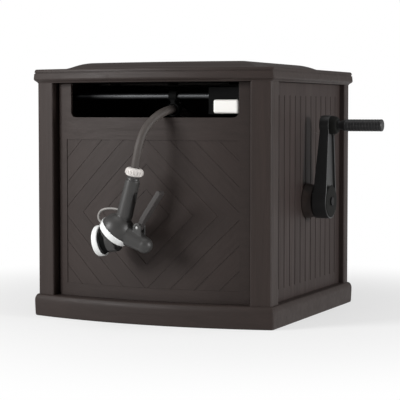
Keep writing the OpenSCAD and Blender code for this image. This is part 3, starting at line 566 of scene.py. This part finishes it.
@dataclass
class Studio:
    """Camera, light and floor.

    Attributes:
        target: Point that the camera looks at.
        azimuth: Degrees that the camera stands to the right of straight ahead.
        elevation: Degrees that it looks down.
        distance: Distance from the target.
        lens: Focal length in millimetres on a 36 mm sensor.
        fill: Strength of the light all round.
        glint: Strength of the surroundings that smooth surfaces mirror.
        floor_spread: Distances at which the floor starts to fade, and at which it is white.
        floor_glow: Share of its own light in the floor near the box.
    """

    target: Point = (0.0034, 0.0, 0.2432)
    azimuth: float = 24.3
    elevation: float = 3.42
    distance: float = 3.274
    lens: float = 132.03
    fill: float = 0.1
    glint: float = 0.36
    floor_spread: Pair = (0.45, 1.1)
    floor_glow: float = 0.62

    def aim_camera(self) -> None:
        """Sets the camera at the photograph's viewing angle."""
        turn, rise = math.radians(self.azimuth), math.radians(self.elevation)
        back = Vector((math.sin(turn) * math.cos(rise), -math.cos(turn) * math.cos(rise), math.sin(rise)))
        camera = bpy.data.objects.new("camera", bpy.data.cameras.new("camera"))
        camera.data.lens = self.lens
        camera.data.sensor_width = 36.0
        camera.location = Vector(self.target) + back * self.distance
        camera.rotation_euler = (-back).to_track_quat("-Z", "Y").to_euler()
        bpy.context.scene.collection.objects.link(camera)
        bpy.context.scene.camera = camera

    @staticmethod
    def _lamp(name: str, spot: Point, aim: Point, size: float, power: float) -> None:
        """Hangs one soft box.

        Args:
            name: The lamp's name.
            spot: Where it hangs.
            aim: Where it points.
            size: Its width.
            power: Its power in watts.
        """
        light = bpy.data.lights.new(name, "AREA")
        light.shape = "RECTANGLE"
        light.size = light.size_y = size
        light.energy = power
        lamp = bpy.data.objects.new(name, light)
        lamp.location = spot
        lamp.rotation_euler = (Vector(aim) - Vector(spot)).to_track_quat("-Z", "Y").to_euler()
        bpy.context.scene.collection.objects.link(lamp)

    def _world(self) -> None:
        """Makes soft light all round, white to the camera and stronger where surfaces mirror it."""
        world = bpy.data.worlds.new("studio")
        world.use_nodes = True
        bpy.context.scene.world = world
        w = Wiring(world.node_tree)
        rays = w.add("ShaderNodeLightPath")
        seen = w.math("MAXIMUM", rays.outputs["Is Camera Ray"], rays.outputs["Is Transmission Ray"])
        strength = w.math("MAXIMUM", seen, w.span(rays.outputs["Is Glossy Ray"], self.fill, self.glint))
        sky = w.add("ShaderNodeBackground", Color=WHITE_LIGHT, Strength=strength)
        w.feed(w.add("ShaderNodeOutputWorld").inputs["Surface"], sky.outputs[0])

    def _floor(self) -> None:
        """Lays a pale floor that fades to white away from the box."""
        bm = bmesh.new()
        bmesh.ops.create_grid(bm, x_segments=1, y_segments=1, size=20.0)
        mesh = bpy.data.meshes.new("floor")
        bm.to_mesh(mesh)
        bm.free()
        floor = bpy.data.objects.new("floor", mesh)
        bpy.context.scene.collection.objects.link(floor)
        material = bpy.data.materials.new("floor")
        material.use_nodes = True
        mesh.materials.append(material)
        w = Wiring(material.node_tree)
        spread = w.add("ShaderNodeVectorMath", {"operation": "LENGTH"},
                       Vector=w.add("ShaderNodeTexCoord").outputs["Object"]).outputs["Value"]
        near, end = self.floor_spread
        far = w.add("ShaderNodeMapRange", {"interpolation_type": "SMOOTHSTEP"}, Value=spread, From_Min=near,
                    From_Max=end).outputs[0]
        rays = w.add("ShaderNodeLightPath")
        seen = w.math("MAXIMUM", rays.outputs["Is Camera Ray"], rays.outputs["Is Glossy Ray"])
        matt = w.add("ShaderNodeBsdfDiffuse", Color=(0.82, 0.82, 0.82, 1.0))
        glow = w.add("ShaderNodeEmission", Color=w.blend(far, (0.97, 0.97, 0.97, 1.0), WHITE_LIGHT))
        share = w.math("MULTIPLY", seen, w.span(far, self.floor_glow, 1.0))
        mix = w.add("ShaderNodeMixShader", Fac=share)
        w.feed(mix.inputs[1], matt.outputs[0])
        w.feed(mix.inputs[2], glow.outputs[0])
        w.feed(w.add("ShaderNodeOutputMaterial").inputs["Surface"], mix.outputs[0])

    def light(self) -> None:
        """Sets the lamps, the surrounding light and the floor."""
        middle = (0.0, 0.0, 0.28)
        self._lamp("left_box", (-1.6, -2.1, 1.2), (-0.25, -0.2, 0.35), 1.0, 72.0)
        self._lamp("right_box", (2.7, -0.3, 0.6), middle, 0.4, 48.0)
        self._lamp("rear_box", (2.0, 1.3, 1.3), middle, 1.0, 6.0)
        self._lamp("top_box", (0.2, -0.3, 3.0), middle, 1.8, 24.0)
        self._world()
        self._floor()
        bpy.context.scene.view_settings.view_transform = "Standard"


@dataclass
class Hose:
    """The wound hose, and its free end over the guide to the nozzle.

    Attributes:
        diameter: Outside diameter.
        axle_z: Height of the reel's axle.
        inner_r: Radius of the middle of the inner layer.
        outer_r: Radius of the middle of the outer layer.
        half: Half the width between the first and the last turn.
        turns: Turns in each layer.
        turn_points: Points on each turn.
        climb_lean: How far the last turn leans out where it climbs to the outer layer.
        route: Points of the free end, from the winding to the nozzle.
    """

    diameter: float = 0.0175
    axle_z: float = 0.248
    inner_r: float = 0.0889
    outer_r: float = 0.10746
    half: float = 0.19025
    turns: int = 20
    turn_points: int = 16
    climb_lean: float = 0.0007
    route: tuple[Point, ...] = (
        (0.045, 0.070, 0.130), (0.045, 0.100, 0.162), (0.045, 0.124, 0.202), (0.045, 0.132, 0.248),
        (0.045, 0.124, 0.293), (0.045, 0.102, 0.333), (0.045, 0.072, 0.360), (0.045, 0.037, 0.375),
        (0.045, -0.036, 0.397), (0.045, -0.110, 0.418), (0.045, -0.160, 0.433), (0.045, -0.184, 0.440),
        (0.045, -0.197, 0.443), (0.045, -0.210, 0.444), (0.045, -0.234, 0.444), (0.043, -0.258, 0.441),
        (0.036, -0.280, 0.432), (0.027, -0.299, 0.417), (0.020, -0.314, 0.398),
        (0.0155, -0.323, 0.376), (0.0105, -0.326, 0.348), (0.0062, -0.326, 0.326))

    def _wound(self) -> list[Point]:
        """Gives the middle line of both layers: inwards from the right, then back over itself."""
        points: list[Point] = []
        rise = self.turn_points // 2
        layer = self.turns * self.turn_points
        for k in range(2 * layer + rise + 1):
            step = k - layer - rise
            angle = math.radians(270) + 2 * math.pi * step / self.turn_points
            if k <= layer:
                radius, x = self.inner_r, self.half - 2 * self.half * k / layer
            elif step < 0:
                part = (k - layer) / rise
                radius = self.inner_r + (self.outer_r - self.inner_r) * part
                x = -self.half - self.climb_lean * math.sin(math.pi * part)
            else:
                radius, x = self.outer_r, -self.half + 2 * self.half * step / layer
            points.append((x, radius * math.cos(angle), self.axle_z + radius * math.sin(angle)))
        return points

    @staticmethod
    def _length(points: Sequence[Point]) -> float:
        """Gives the length of a smooth curve through points."""
        return CURVE_EXCESS * sum((Vector(b) - Vector(a)).length for a, b in zip(points, points[1:]))

    def build(self, held: Sequence[Piece]) -> None:
        """Args:
            held: Pieces of the tool at the free end; not used.
        """
        wound = self._wound()
        radius = self.diameter / 2
        coil = bent_tube(wound, "wound_hose", "reel", HOSE, radius, 3, ("hose_core", "hose_winding"))
        run = bent_tube(self.route, "free_hose", "guide", HOSE, radius, 10, ("hose_run",))


@dataclass
class BowPlan:
    """The plan that the base and the lid share: square back corners and a bow front.

    Attributes:
        width: Overall width.
        depth: Depth at the corners.
        bow: How far the front bows out.
        steps: Straight pieces along the bow.
        corner: Rounding of the four corners.
    """

    width: float = 0.556
    depth: float = 0.496
    bow: float = 0.04
    steps: int = 40
    corner: float = 0.004

    def _arc(self) -> Pair:
        """Gives the radius of the bow, and the depth of its middle point."""
        radius = ((self.width / 2) ** 2 + self.bow ** 2) / (2 * self.bow)
        return radius, radius - self.depth / 2 - self.bow

    def _ring(self, bm: Shape, inset: float, height: float) -> list[Edge]:
        """Draws the plan's outline at one height.

        Args:
            bm: Shape to add it to.
            inset: Distance inside the plan.
            height: Height of the outline.

        Returns:
            Its edges.
        """
        radius, centre = self._arc()
        half, back = self.width / 2 - inset, self.depth / 2 - inset
        reach = radius - inset
        known_edges, known_faces = set(bm.edges), set(bm.faces)
        first = bm.verts.new((-half, centre - math.sqrt(reach ** 2 - half ** 2), height))
        spun = bmesh.ops.spin(bm, geom=[first], cent=(0.0, centre, height), axis=(0.0, 0.0, 1.0),
                              angle=2 * math.asin(half / reach), steps=self.steps, use_merge=False,
                              use_duplicate=False)
        last = next(g for g in spun["geom_last"] if isinstance(g, bmesh.types.BMVert))
        right = bm.verts.new((half, back, height))
        left = bm.verts.new((-half, back, height))
        for pair in ((last, right), (right, left), (left, first)):
            bm.edges.new(pair)
        bmesh.ops.contextual_create(bm, geom=[e for e in bm.edges if e not in known_edges])
        bmesh.ops.bevel(bm, geom=[first, last, right, left], offset=self.corner, offset_type="OFFSET",
                        segments=3, profile=0.5, affect="VERTICES", clamp_overlap=False, material=-1)
        bmesh.ops.delete(bm, geom=[f for f in bm.faces if f not in known_faces], context="FACES_ONLY")
        return [e for e in bm.edges if e not in known_edges]

    def front_y(self, inset: float, x: float) -> float:
        """Gives the depth of the bow front at a distance from the middle, inset from the plan."""
        radius, centre = self._arc()
        return centre - math.sqrt((radius - inset) ** 2 - x ** 2)

    @staticmethod
    def _rounded(levels: Sequence[Point], segments: int) -> list[Pair]:
        """Rounds the turns of a section.

        Args:
            levels: Inset, height and size of the round at each turn.
            segments: Straight pieces in a round.

        Returns:
            Insets and heights along the rounded section.
        """
        line: list[Pair] = []
        for k, (inset, height, size) in enumerate(levels):
            here = Vector((inset, height))
            if not size:
                line.append((inset, height))
                continue
            start = here + (Vector(levels[k - 1][:2]) - here).normalized() * size
            end = here + (Vector(levels[k + 1][:2]) - here).normalized() * size
            for step in range(segments + 1):
                part = step / segments
                line.append(tuple(start * (1 - part) ** 2 + here * 2 * part * (1 - part) + end * part ** 2))
        return line

    def stack(self, bm: Shape, levels: Sequence[Point], segments: int = 4) -> None:
        """Builds a closed shape from outlines at several heights.

        The outlines are bridged while they stand well apart, as outlines at one height could be joined
        with a twist, and are then set to their heights.

        Args:
            bm: Shape to add it to.
            levels: Inset, height and size of the round at each turn of its section.
            segments: Straight pieces in a round.
        """
        line = self._rounded(levels, segments)
        rings = [self._ring(bm, inset, float(k)) for k, (inset, _) in enumerate(line)]
        for lower, upper in zip(rings, rings[1:]):
            bmesh.ops.bridge_loops(bm, edges=lower + upper)
        for end in (rings[0], rings[-1]):
            bmesh.ops.contextual_create(bm, geom=end)
        for k, (ring, (_, height)) in enumerate(zip(rings, line)):
            verts = list({v for e in ring for v in e.verts})
            bmesh.ops.translate(bm, vec=(0.0, 0.0, height - k), verts=verts)
        bmesh.ops.recalc_face_normals(bm, faces=bm.faces[:])


@dataclass
class Shell:
    """The box that stays put: base, posts and panels.

    Attributes:
        plan: Plan of the base.
        base_h: Height of the base.
        ledge: Width of the base's top ledge.
        floor_t: Thickness of its floor.
        shoulder: Inset and height of the slope at its top edge.
        post_round: Rounding of the posts.
        panel_round: Rounding of the panels' edges.
        tall: Rise past which an edge counts as upright.
        front_inset: Distance of the front panel's face inside the plan.
        field_slack: Margin round the field of boards.
        field_sunk: Least and greatest depth of the field and its grooves behind that face.
        groove_sunk: Depth past which a point lies in a groove.
        field_lift: How much the field of boards is raised.
        groove_lift: How much more the grooves between boards are filled.
    """

    plan: BowPlan
    base_h: float = 0.047
    ledge: float = 0.063
    floor_t: float = 0.004
    shoulder: Pair = (0.005, 0.007)
    post_round: float = 0.004
    panel_round: float = 0.0008
    tall: float = 0.1
    front_inset: float = 0.027
    field_slack: float = 0.0005
    field_sunk: Pair = (0.0015, 0.0055)
    groove_sunk: float = 0.0035
    field_lift: float = 0.0012
    groove_lift: float = 0.0013

    def _base(self) -> None:
        """Builds the base as a tray with a broad ledge."""
        top = self.base_h
        inward, slope = self.shoulder
        bm = bmesh.new()
        self.plan.stack(bm, (
            (self.ledge, 0.0, 0.0), (0.001, 0.0, 0.004),
            (0.0, top - 0.02, 0.003), (0.0, top - slope, 0.006), (inward, top, 0.003),
            (self.ledge, top, 0.002), (self.ledge, self.floor_t, 0.0)))
        place(bm, "base_dressed", "box", SHELL, ("base_tray",))

    def _front(self) -> None:
        """Dresses the front panel, whose grooves between boards show only faintly."""
        half_w, half_h, middle = FRONT.boards

        def in_field(spot: Vector) -> bool:
            """Tells whether a point lies in the field of boards."""
            level = abs(spot.x) < half_w + self.field_slack
            return level and abs(spot.z - middle) < half_h + self.field_slack

        bm = merged("front_panel")
        least, most = self.field_sunk
        for vert in bm.verts:
            sunk = vert.co.y - self.plan.front_y(self.front_inset, vert.co.x)
            if in_field(vert.co) and least < sunk < most:
                vert.co.y -= self.field_lift + (self.groove_lift if sunk > self.groove_sunk else 0.0)
        soften(bm, self.panel_round, 2, lambda e: not all(in_field(v.co) for v in e.verts))
        place(bm, "front_panel_dressed", "box", FRONT, ("front_panel",), crease=0.5)

    def build(self) -> None:
        """Builds the base and dresses the posts and panels."""
        self._base()

        def upright(edge: Edge) -> bool:
            """Tells whether an edge stands upright."""
            a, b = (v.co for v in edge.verts)
            return abs(a.z - b.z) > self.tall

        for side in ("front_left", "front_right", "back_left", "back_right"):
            rounded_copy(side + "_post", "box", POST, self.post_round, 4, upright)
        self._front()
        for node, finish in (("left_panel", SIDE), ("right_panel", SIDE), ("back_panel", BACK)):
            rounded_copy(node, "box", finish, self.panel_round)


@dataclass
class Lid:
    """The lift-up lid.

    Attributes:
        plan: Plan of its rim.
        low: Height of its underside.
        crease: Heights of the crease's two edges.
        crease_depth: Depth of the crease.
        rim_top: Height of the rim.
        crown: Insets of the crown's foot and top, and the height of its top.
        crown_lap: How far the last outline lies inside the crown's edge.
        wall: Distance of the rim's inner face inside the plan.
        liner: Depth of the space that the liner fills.
        liner_gap: Gaps beside the liner and above it.
        lip: Half width, back and lowest height of the lip inside the rim.
        lip_front: Depth at which the lip's sides end.
        lip_t: Thickness of the lip.
        rib_field: Half width, front and back of the field of ribs.
        rib_rows: Depths of the ribs that run across.
        rib_columns: Places across of the ribs that run back.
        rib_half: Half the thickness of a rib.
        rib_low: Lowest height of the ribs.
        rib_bite: How far lip and ribs reach into the liner.
    """

    plan: BowPlan
    low: float = 0.501
    crease: Pair = (0.521, 0.5235)
    crease_depth: float = 0.0028
    rim_top: float = 0.53
    crown: Point = (0.053, 0.089, 0.545)
    crown_lap: float = 0.03
    wall: float = 0.0088
    liner: float = 0.0032
    liner_gap: Pair = (0.0003, 0.0002)
    lip: Point = (0.224, 0.2185, 0.494)
    lip_front: float = -0.17
    lip_t: float = 0.003
    rib_field: Point = (0.19, -0.16, 0.19)
    rib_rows: Point = (-0.11, 0.0, 0.11)
    rib_columns: Point = (-0.14, 0.0, 0.14)
    rib_half: float = 0.002
    rib_low: float = 0.497
    rib_bite: float = 0.0005

    def _inside(self) -> None:
        """Adds the lip that drops inside the panels, and the liner's stiffening ribs."""
        half, back, low = self.lip
        reach, front, rear = self.rib_field
        thin = self.rib_half
        bars = [((-half, half), (back - self.lip_t, back), low),
                ((-half, -half + self.lip_t), (self.lip_front, back), low),
                ((half - self.lip_t, half), (self.lip_front, back), low)]
        bars += [((-reach, reach), (y - thin, y + thin), self.rib_low) for y in self.rib_rows]
        bars += [((x - thin, x + thin), (front, rear), self.rib_low) for x in self.rib_columns]
        bm = bmesh.new()
        for (x0, x1), (y0, y1), z0 in bars:
            add_bar(bm, (x0, y0, z0), (x1, y1, self.low + self.rib_bite))
        soften(bm, width=0.0007, segments=2)
        place(bm, "lid_ribs", "lid", LINER)

    def build(self) -> None:
        """Builds the rim with its crease and raised crown as one shell, and the inside of the lid."""
        foot, top, high = self.crown
        low, deep = self.low, self.crease_depth
        under, over = self.crease
        bm = bmesh.new()
        self.plan.stack(bm, (
            (self.wall, low + self.liner, 0.0), (self.wall, low, 0.0), (0.0070, low, 0.0007),
            (0.0064, low + 0.0018, 0.001), (0.0, low + 0.0068, 0.0028), (0.0011, under, 0.0006),
            (deep, under, 0.0), (deep, over, 0.0), (0.0014, over, 0.0006),
            (0.0030, self.rim_top, 0.0028), (foot, self.rim_top, 0.014),
            (top, high, 0.018), (top + self.crown_lap, high, 0.0)), 5)
        place(bm, "lid_dressed", "lid", SHELL, ("lid_shell",))
        beside, above = self.liner_gap
        inset = self.wall + beside
        bm = bmesh.new()
        self.plan.stack(bm, ((inset, low, 0.0), (inset, low + self.liner - above, 0.0)))
        place(bm, "liner_dressed", "lid", LINER, ("lid_liner",))
        self._inside()
        rounded_copy("lid_hinge_leaves", "lid", BLACK, width=0.0008)


@dataclass
class Nozzle:
    """The pistol nozzle that hangs from the hose.

    Attributes:
        plane: Depth of its middle plane.
        drop: Place of the hose's end across and up.
        drop_tilt: Lean of the hose's end in degrees.
        spray: Place where the spray axis starts, across and up.
        spray_dip: Degrees that the spray axis points below level, to the left.
        bail: Points of the wire bail across and up.
        bail_r: Radius of its wire.
        flutes: Number of flutes round the coupling.
        flute: Two opposite corners of a flute's bar.
        flute_edge: Length that the bar's edges stay under.
        dial_face: Distance of the dial's face along the spray axis.
        outlets: Number of outlets round the middle one.
        outlet_out: Their distance from the middle.
        outlet_r: Radii of the middle outlet and of the others.
    """

    COUPLING: ClassVar[Profile] = (
        (0.0, 0.0), (0.0, 0.0125), (0.0008, 0.0148), (0.0026, 0.0168), (0.0055, 0.0179),
        (0.0115, 0.0179), (0.0144, 0.0168), (0.0162, 0.0148), (0.017, 0.0125), (0.017, 0.0))
    INSERT: ClassVar[Profile] = (
        (0.016, 0.0), (0.016, 0.0126), (0.0185, 0.0129), (0.021, 0.0118), (0.0235, 0.0129),
        (0.0252, 0.0129), (0.0252, 0.0))
    BEZEL: ClassVar[Profile] = (
        (0.0323, 0.0291), (0.0323, 0.0306), (0.0331, 0.0316), (0.0345, 0.0320), (0.0421, 0.0320),
        (0.0435, 0.0316), (0.0443, 0.0306), (0.0443, 0.0291), (0.0323, 0.0291))
    NECK: ClassVar[Profile] = (
        (0.0180, 0.0), (0.0180, 0.0262), (0.0280, 0.0262), (0.0287, 0.0255), (0.0287, 0.0))

    plane: float = -0.326
    drop: Pair = (0.0062, 0.326)
    drop_tilt: float = 11.0593
    spray: Pair = (-0.034748, 0.180986)
    spray_dip: float = 8.0
    bail: tuple[Pair, ...] = (
        (-0.0290, 0.2400), (-0.0375, 0.2415), (-0.0537, 0.2421), (-0.0680, 0.2392), (-0.0752, 0.2335),
        (-0.0778, 0.2255), (-0.0764, 0.2190), (-0.0715, 0.2140), (-0.0640, 0.2085))
    bail_r: float = 0.0024
    flutes: int = 20
    flute: tuple[Point, Point] = ((0.0170, -0.0013, 0.0046), (0.0189, 0.0013, 0.0124))
    flute_edge: float = 0.013
    dial_face: float = 0.0418
    outlets: int = 8
    outlet_out: float = 0.0155
    outlet_r: Pair = (0.0045, 0.0032)

    def _at_drop(self) -> Matrix:
        """Gives the hose's end, with Z pointing down along the hose's axis."""
        turn = Matrix.Rotation(math.radians(180 + self.drop_tilt), 4, "Y")
        return Matrix.Translation((self.drop[0], self.plane, self.drop[1])) @ turn

    def _at_spray(self, along: float) -> Matrix:
        """Gives a place on the spray axis, with Z pointing along it."""
        turn = Matrix.Rotation(math.radians(-90 - self.spray_dip), 4, "Y")
        spot = Matrix.Translation((self.spray[0], self.plane, self.spray[1])) @ turn
        return spot @ Matrix.Translation((0.0, 0.0, along))

    def _coupling(self) -> list[Piece]:
        """Turns the fluted coupling and its insert.

        Returns:
            The new pieces.
        """

        def of_flute(edge: Edge) -> bool:
            """Tells whether an edge belongs to the square bar of a flute."""
            return edge.calc_length() < self.flute_edge and len(edge.verts[0].link_edges) == 3

        bm = bmesh.new()
        end = self._at_drop()
        turned(bm, self.COUPLING, end, 64)
        for k in range(self.flutes):
            turn = Matrix.Rotation(math.radians(360 / self.flutes * k), 4, "Z")
            bmesh.ops.transform(bm, matrix=end @ turn, verts=add_bar(bm, *self.flute))
        soften(bm, 0.0006, 2, of_flute, least=60.0)
        ring = place(bm, "coupling_dressed", "guide", COUPLER, ("hose_coupling",))
        bm = bmesh.new()
        turned(bm, self.INSERT, end)
        return [ring, place(bm, "insert_dressed", "guide", GREY, ("coupling_insert",))]

    def _outlets(self) -> None:
        """Sets the outlets on the dial's face, one in the middle and a ring round it."""
        bm = bmesh.new()
        for k in range(self.outlets + 1):
            out, size = (self.outlet_out, self.outlet_r[1]) if k else (0.0, self.outlet_r[0])
            turn = Matrix.Rotation(math.radians(360 / self.outlets * k), 4, "Z")
            spot = self._at_spray(self.dial_face - 0.0016) @ turn @ Matrix.Translation((out, 0.0, 0.0))
            turned(bm, ((0.0, size), (0.0009, size), (0.0012, size - 0.0004), (0.0012, size - 0.0014),
                        (0.0003, size - 0.0016), (0.0003, 0.0)), spot, 20)
        place(bm, "dial_outlets", "dial", PALE)

    def _dial(self) -> None:
        """Turns the spray dial, its outlets, its bright bezel and the neck behind it."""
        axis = self._at_spray(0.0)
        face = self.dial_face
        bm = bmesh.new()
        turned(bm, ((0.0296, 0.0092), (0.0296, 0.0240), (0.0301, 0.0256), (0.0318, 0.0262),
                    (0.0340, 0.0284), (face, 0.0286), (face, 0.0260), (face - 0.0015, 0.0248),
                    (face - 0.0015, 0.0)), axis, 60)
        place(bm, "dial_dressed", "dial", BLACK, ("spray_dial",))
        self._outlets()
        bm = bmesh.new()
        turned(bm, self.BEZEL, axis, 72)
        place(bm, "bezel_dressed", "dial", PALE, ("dial_bezel",))
        bm = bmesh.new()
        turned(bm, self.NECK, axis, 60)
        place(bm, "nozzle_neck", "guide", GUIDE_BLACK)

    def _bail(self) -> None:
        """Bends the thin wire bail in front of the grip."""
        points = [(x, self.plane, z) for x, z in self.bail]
        bent_tube(points, "wire_bail", "guide", BAIL, self.bail_r, 8)

    def build(self) -> list[Piece]:
        """Builds the nozzle from its coupling to its dial.

        Returns:
            The pieces that close the hose's end.
        """
        held = self._coupling()
        place(merged("nozzle_body"), "nozzle_skin", "guide", GREY, ("nozzle_body",), melt=0.0011)
        rounded_copy("nozzle_collar", "guide", PALE, width=0.0012, segments=3)
        rounded_copy("nozzle_trigger", "trigger", LEVER, width=0.0012, segments=3)
        self._dial()
        self._bail()
        dress(STEEL, "trigger_pin")
        return held


@dataclass
class Crank:
    """The crank, its boss on the side panel and its grip.

    Attributes:
        axle_z: Height of the axle.
        grip_z: Height of the grip.
        grip_x: Where the grip starts and ends across.
        face_x: Where the arm's outer face is.
        back: Distance behind that face past which a point lies on the arm's back.
        fuller: How much fuller the back is at the axle, and what is added up to the grip.
        groove_start: Where the first groove of the grip starts.
        groove_pitch: Distance from groove to groove.
        grooves: Number of grooves.
    """

    # The first profile is a thin dark disc on the hub's face: painted shade for a shaded dish in the hub.
    SHADE_DISC: ClassVar[Profile] = (
        (0.0001, 0.0093), (0.0014, 0.0093), (0.0014, 0.0315), (0.001, 0.0335), (0.0001, 0.0345))
    RING: ClassVar[Profile] = (
        (-0.0330, 0.0302), (-0.0330, 0.0352), (-0.0315, 0.0368), (-0.0258, 0.0368), (-0.0258, 0.0302))
    COLLAR: ClassVar[Profile] = (
        (0.0001, 0.0092), (0.0150, 0.0092), (0.0150, 0.0150), (0.0142, 0.0166), (0.0110, 0.0184),
        (0.0060, 0.0198), (0.0001, 0.0204))
    GRIP: ClassVar[Profile] = (
        (0.0, 0.0051), (0.0, 0.0075), (0.001, 0.0085), (0.016, 0.0085), (0.022, 0.0102), (0.028, 0.0122))
    GROOVE: ClassVar[Profile] = ((0.0, 0.0127), (0.0006, 0.0121), (0.0014, 0.0121), (0.002, 0.0127))

    axle_z: float = 0.248
    grip_z: float = 0.411
    grip_x: Pair = (0.314, 0.426)
    face_x: float = 0.312
    back: float = 0.008
    fuller: Pair = (0.005, 0.003)
    groove_start: float = 0.031
    groove_pitch: float = 0.0066
    grooves: int = 12

    def _caps(self) -> None:
        """Adds painted shade as a dark disc over the axle end, the ring behind the arm and the collar under
        the grip.
        """
        bm = bmesh.new()
        for height, line in ((self.axle_z, self.SHADE_DISC), (self.axle_z, self.RING), (self.grip_z, self.COLLAR)):
            turned(bm, (*line, line[0]), along_x(self.face_x, 0.0, height), 64)
        place(bm, "crank_ring_collar_and_shade_disc", "reel", BLACK_AND_PAINTED_SHADE)

    def _arm(self) -> None:
        """Dresses the arm, whose back is a little fuller than the solid's."""
        at_axle, added = self.fuller
        bm = merged("crank_arm")
        for vert in bm.verts:
            if vert.co.x < self.face_x - self.back:
                rise = max(0.0, vert.co.z - self.axle_z) / (self.grip_z - self.axle_z)
                vert.co.x -= at_axle + added * rise
        soften(bm, width=0.0012, segments=3)
        place(bm, "crank_arm_dressed", "reel", ARM_BLACK, ("crank_arm",))

    def _grip(self) -> None:
        """Turns the grooved grip."""
        start, end = self.grip_x
        reach = end - start
        line = [*self.GRIP, *repeated(self.GROOVE, self.groove_start, self.groove_pitch, self.grooves)]
        line += [(reach - 0.003, 0.0129), (reach - 0.0012, 0.0124), (reach - 0.0002, 0.0110),
                 (reach - 0.0002, 0.0101), (reach - 0.0042, 0.0101), (reach - 0.0042, 0.0051), line[0]]
        bm = bmesh.new()
        turned(bm, line, along_x(start, 0.0, self.grip_z))
        place(bm, "grip_dressed", "grip", BLACK, ("crank_grip",))

    def build(self) -> None:
        """Builds the crank from the boss outwards."""
        rounded_copy("bearing_cap", "box", BOSS, width=0.002, segments=3)
        rounded_copy("crank_hub", "reel", ARM_BLACK, width=0.001)
        self._arm()
        rounded_copy("crank_screw", "reel", DARK_STEEL, width=0.0008)
        self._caps()
        dress(STEEL, "grip_spindle")
        self._grip()
        rounded_copy("grip_cap", "grip", BLACK, width=0.001, segments=3)


@dataclass
class Fittings:
    """The hose guide in the slot, the hinges, the water inlet and the reel.

    Attributes:
        inlet: Where the inlet's plate sits on the left panel.
        thread_start: Where its thread starts.
        thread_pitch: Distance from turn to turn.
        thread_turns: Number of turns.
    """

    PLATE: ClassVar[Profile] = (
        (0.0, 0.0066), (0.0, 0.0350), (0.0008, 0.0359), (0.0072, 0.0359), (0.008, 0.0350),
        (0.0082, 0.0188), (0.0176, 0.0188), (0.018, 0.0184), (0.018, 0.0122))
    THREAD: ClassVar[Profile] = ((0.0, 0.0124), (0.0008, 0.0133), (0.0013, 0.0133), (0.0021, 0.0124))
    MOUTH: ClassVar[Profile] = ((0.0338, 0.0122), (0.034, 0.0120), (0.034, 0.0066), (0.0, 0.0066))

    inlet: Point = (-0.257, 0.0, 0.248)
    thread_start: float = 0.0186
    thread_pitch: float = 0.0025
    thread_turns: int = 6

    def _inlet(self) -> None:
        """Turns the water inlet with its thread."""
        thread = repeated(self.THREAD, self.thread_start, self.thread_pitch, self.thread_turns)
        bm = bmesh.new()
        turned(bm, (*self.PLATE, *thread, *self.MOUTH), along_x(*self.inlet, -90.0), 64)
        place(bm, "inlet_dressed", "box", BRASS, ("water_inlet",))

    def build(self) -> None:
        """Dresses every fitting."""
        self._inlet()
        for node in ("left_rod_bracket", "right_rod_bracket"):
            rounded_copy(node, "box", GUIDE_BLACK, width=0.001)
        rounded_copy("guide_stop", "box", WHITE, width=0.005, segments=5)
        rounded_copy("guide_carriage", "guide", GUIDE_BLACK, width=0.0012, segments=3)
        rounded_copy("guide_eyelet", "guide", GUIDE_BLACK, width=0.001)
        rounded_copy("hinge_brackets", "box", BLACK, width=0.0008)
        for node in ("inlet_screws", "hinge_screws"):
            rounded_copy(node, "box", STEEL, width=0.0006)
        dress(CHROME, "guide_rod")
        dress(BLACK, "left_bearing", "right_bearing")
        dress(REEL_BLACK, "drum", "left_flange", "right_flange", "outlet_elbow")
        dress(BRASS, "water_spigot")
        dress(RUBBER, "inlet_seal")
        dress(STEEL, "hinge_pins", "crank_axle")


def main() -> None:
    """Builds the studio and the part in order."""
    logging.basicConfig(level=logging.INFO, format="%(name)s: %(message)s")
    studio = Studio()
    studio.aim_camera()
    nozzle = Nozzle()
    Hose().build(nozzle.build())
    plan = BowPlan()
    Shell(plan).build()
    Lid(plan).build()
    Crank().build()
    Fittings().build()
    studio.light()


if __name__ == "__main__":
    main()
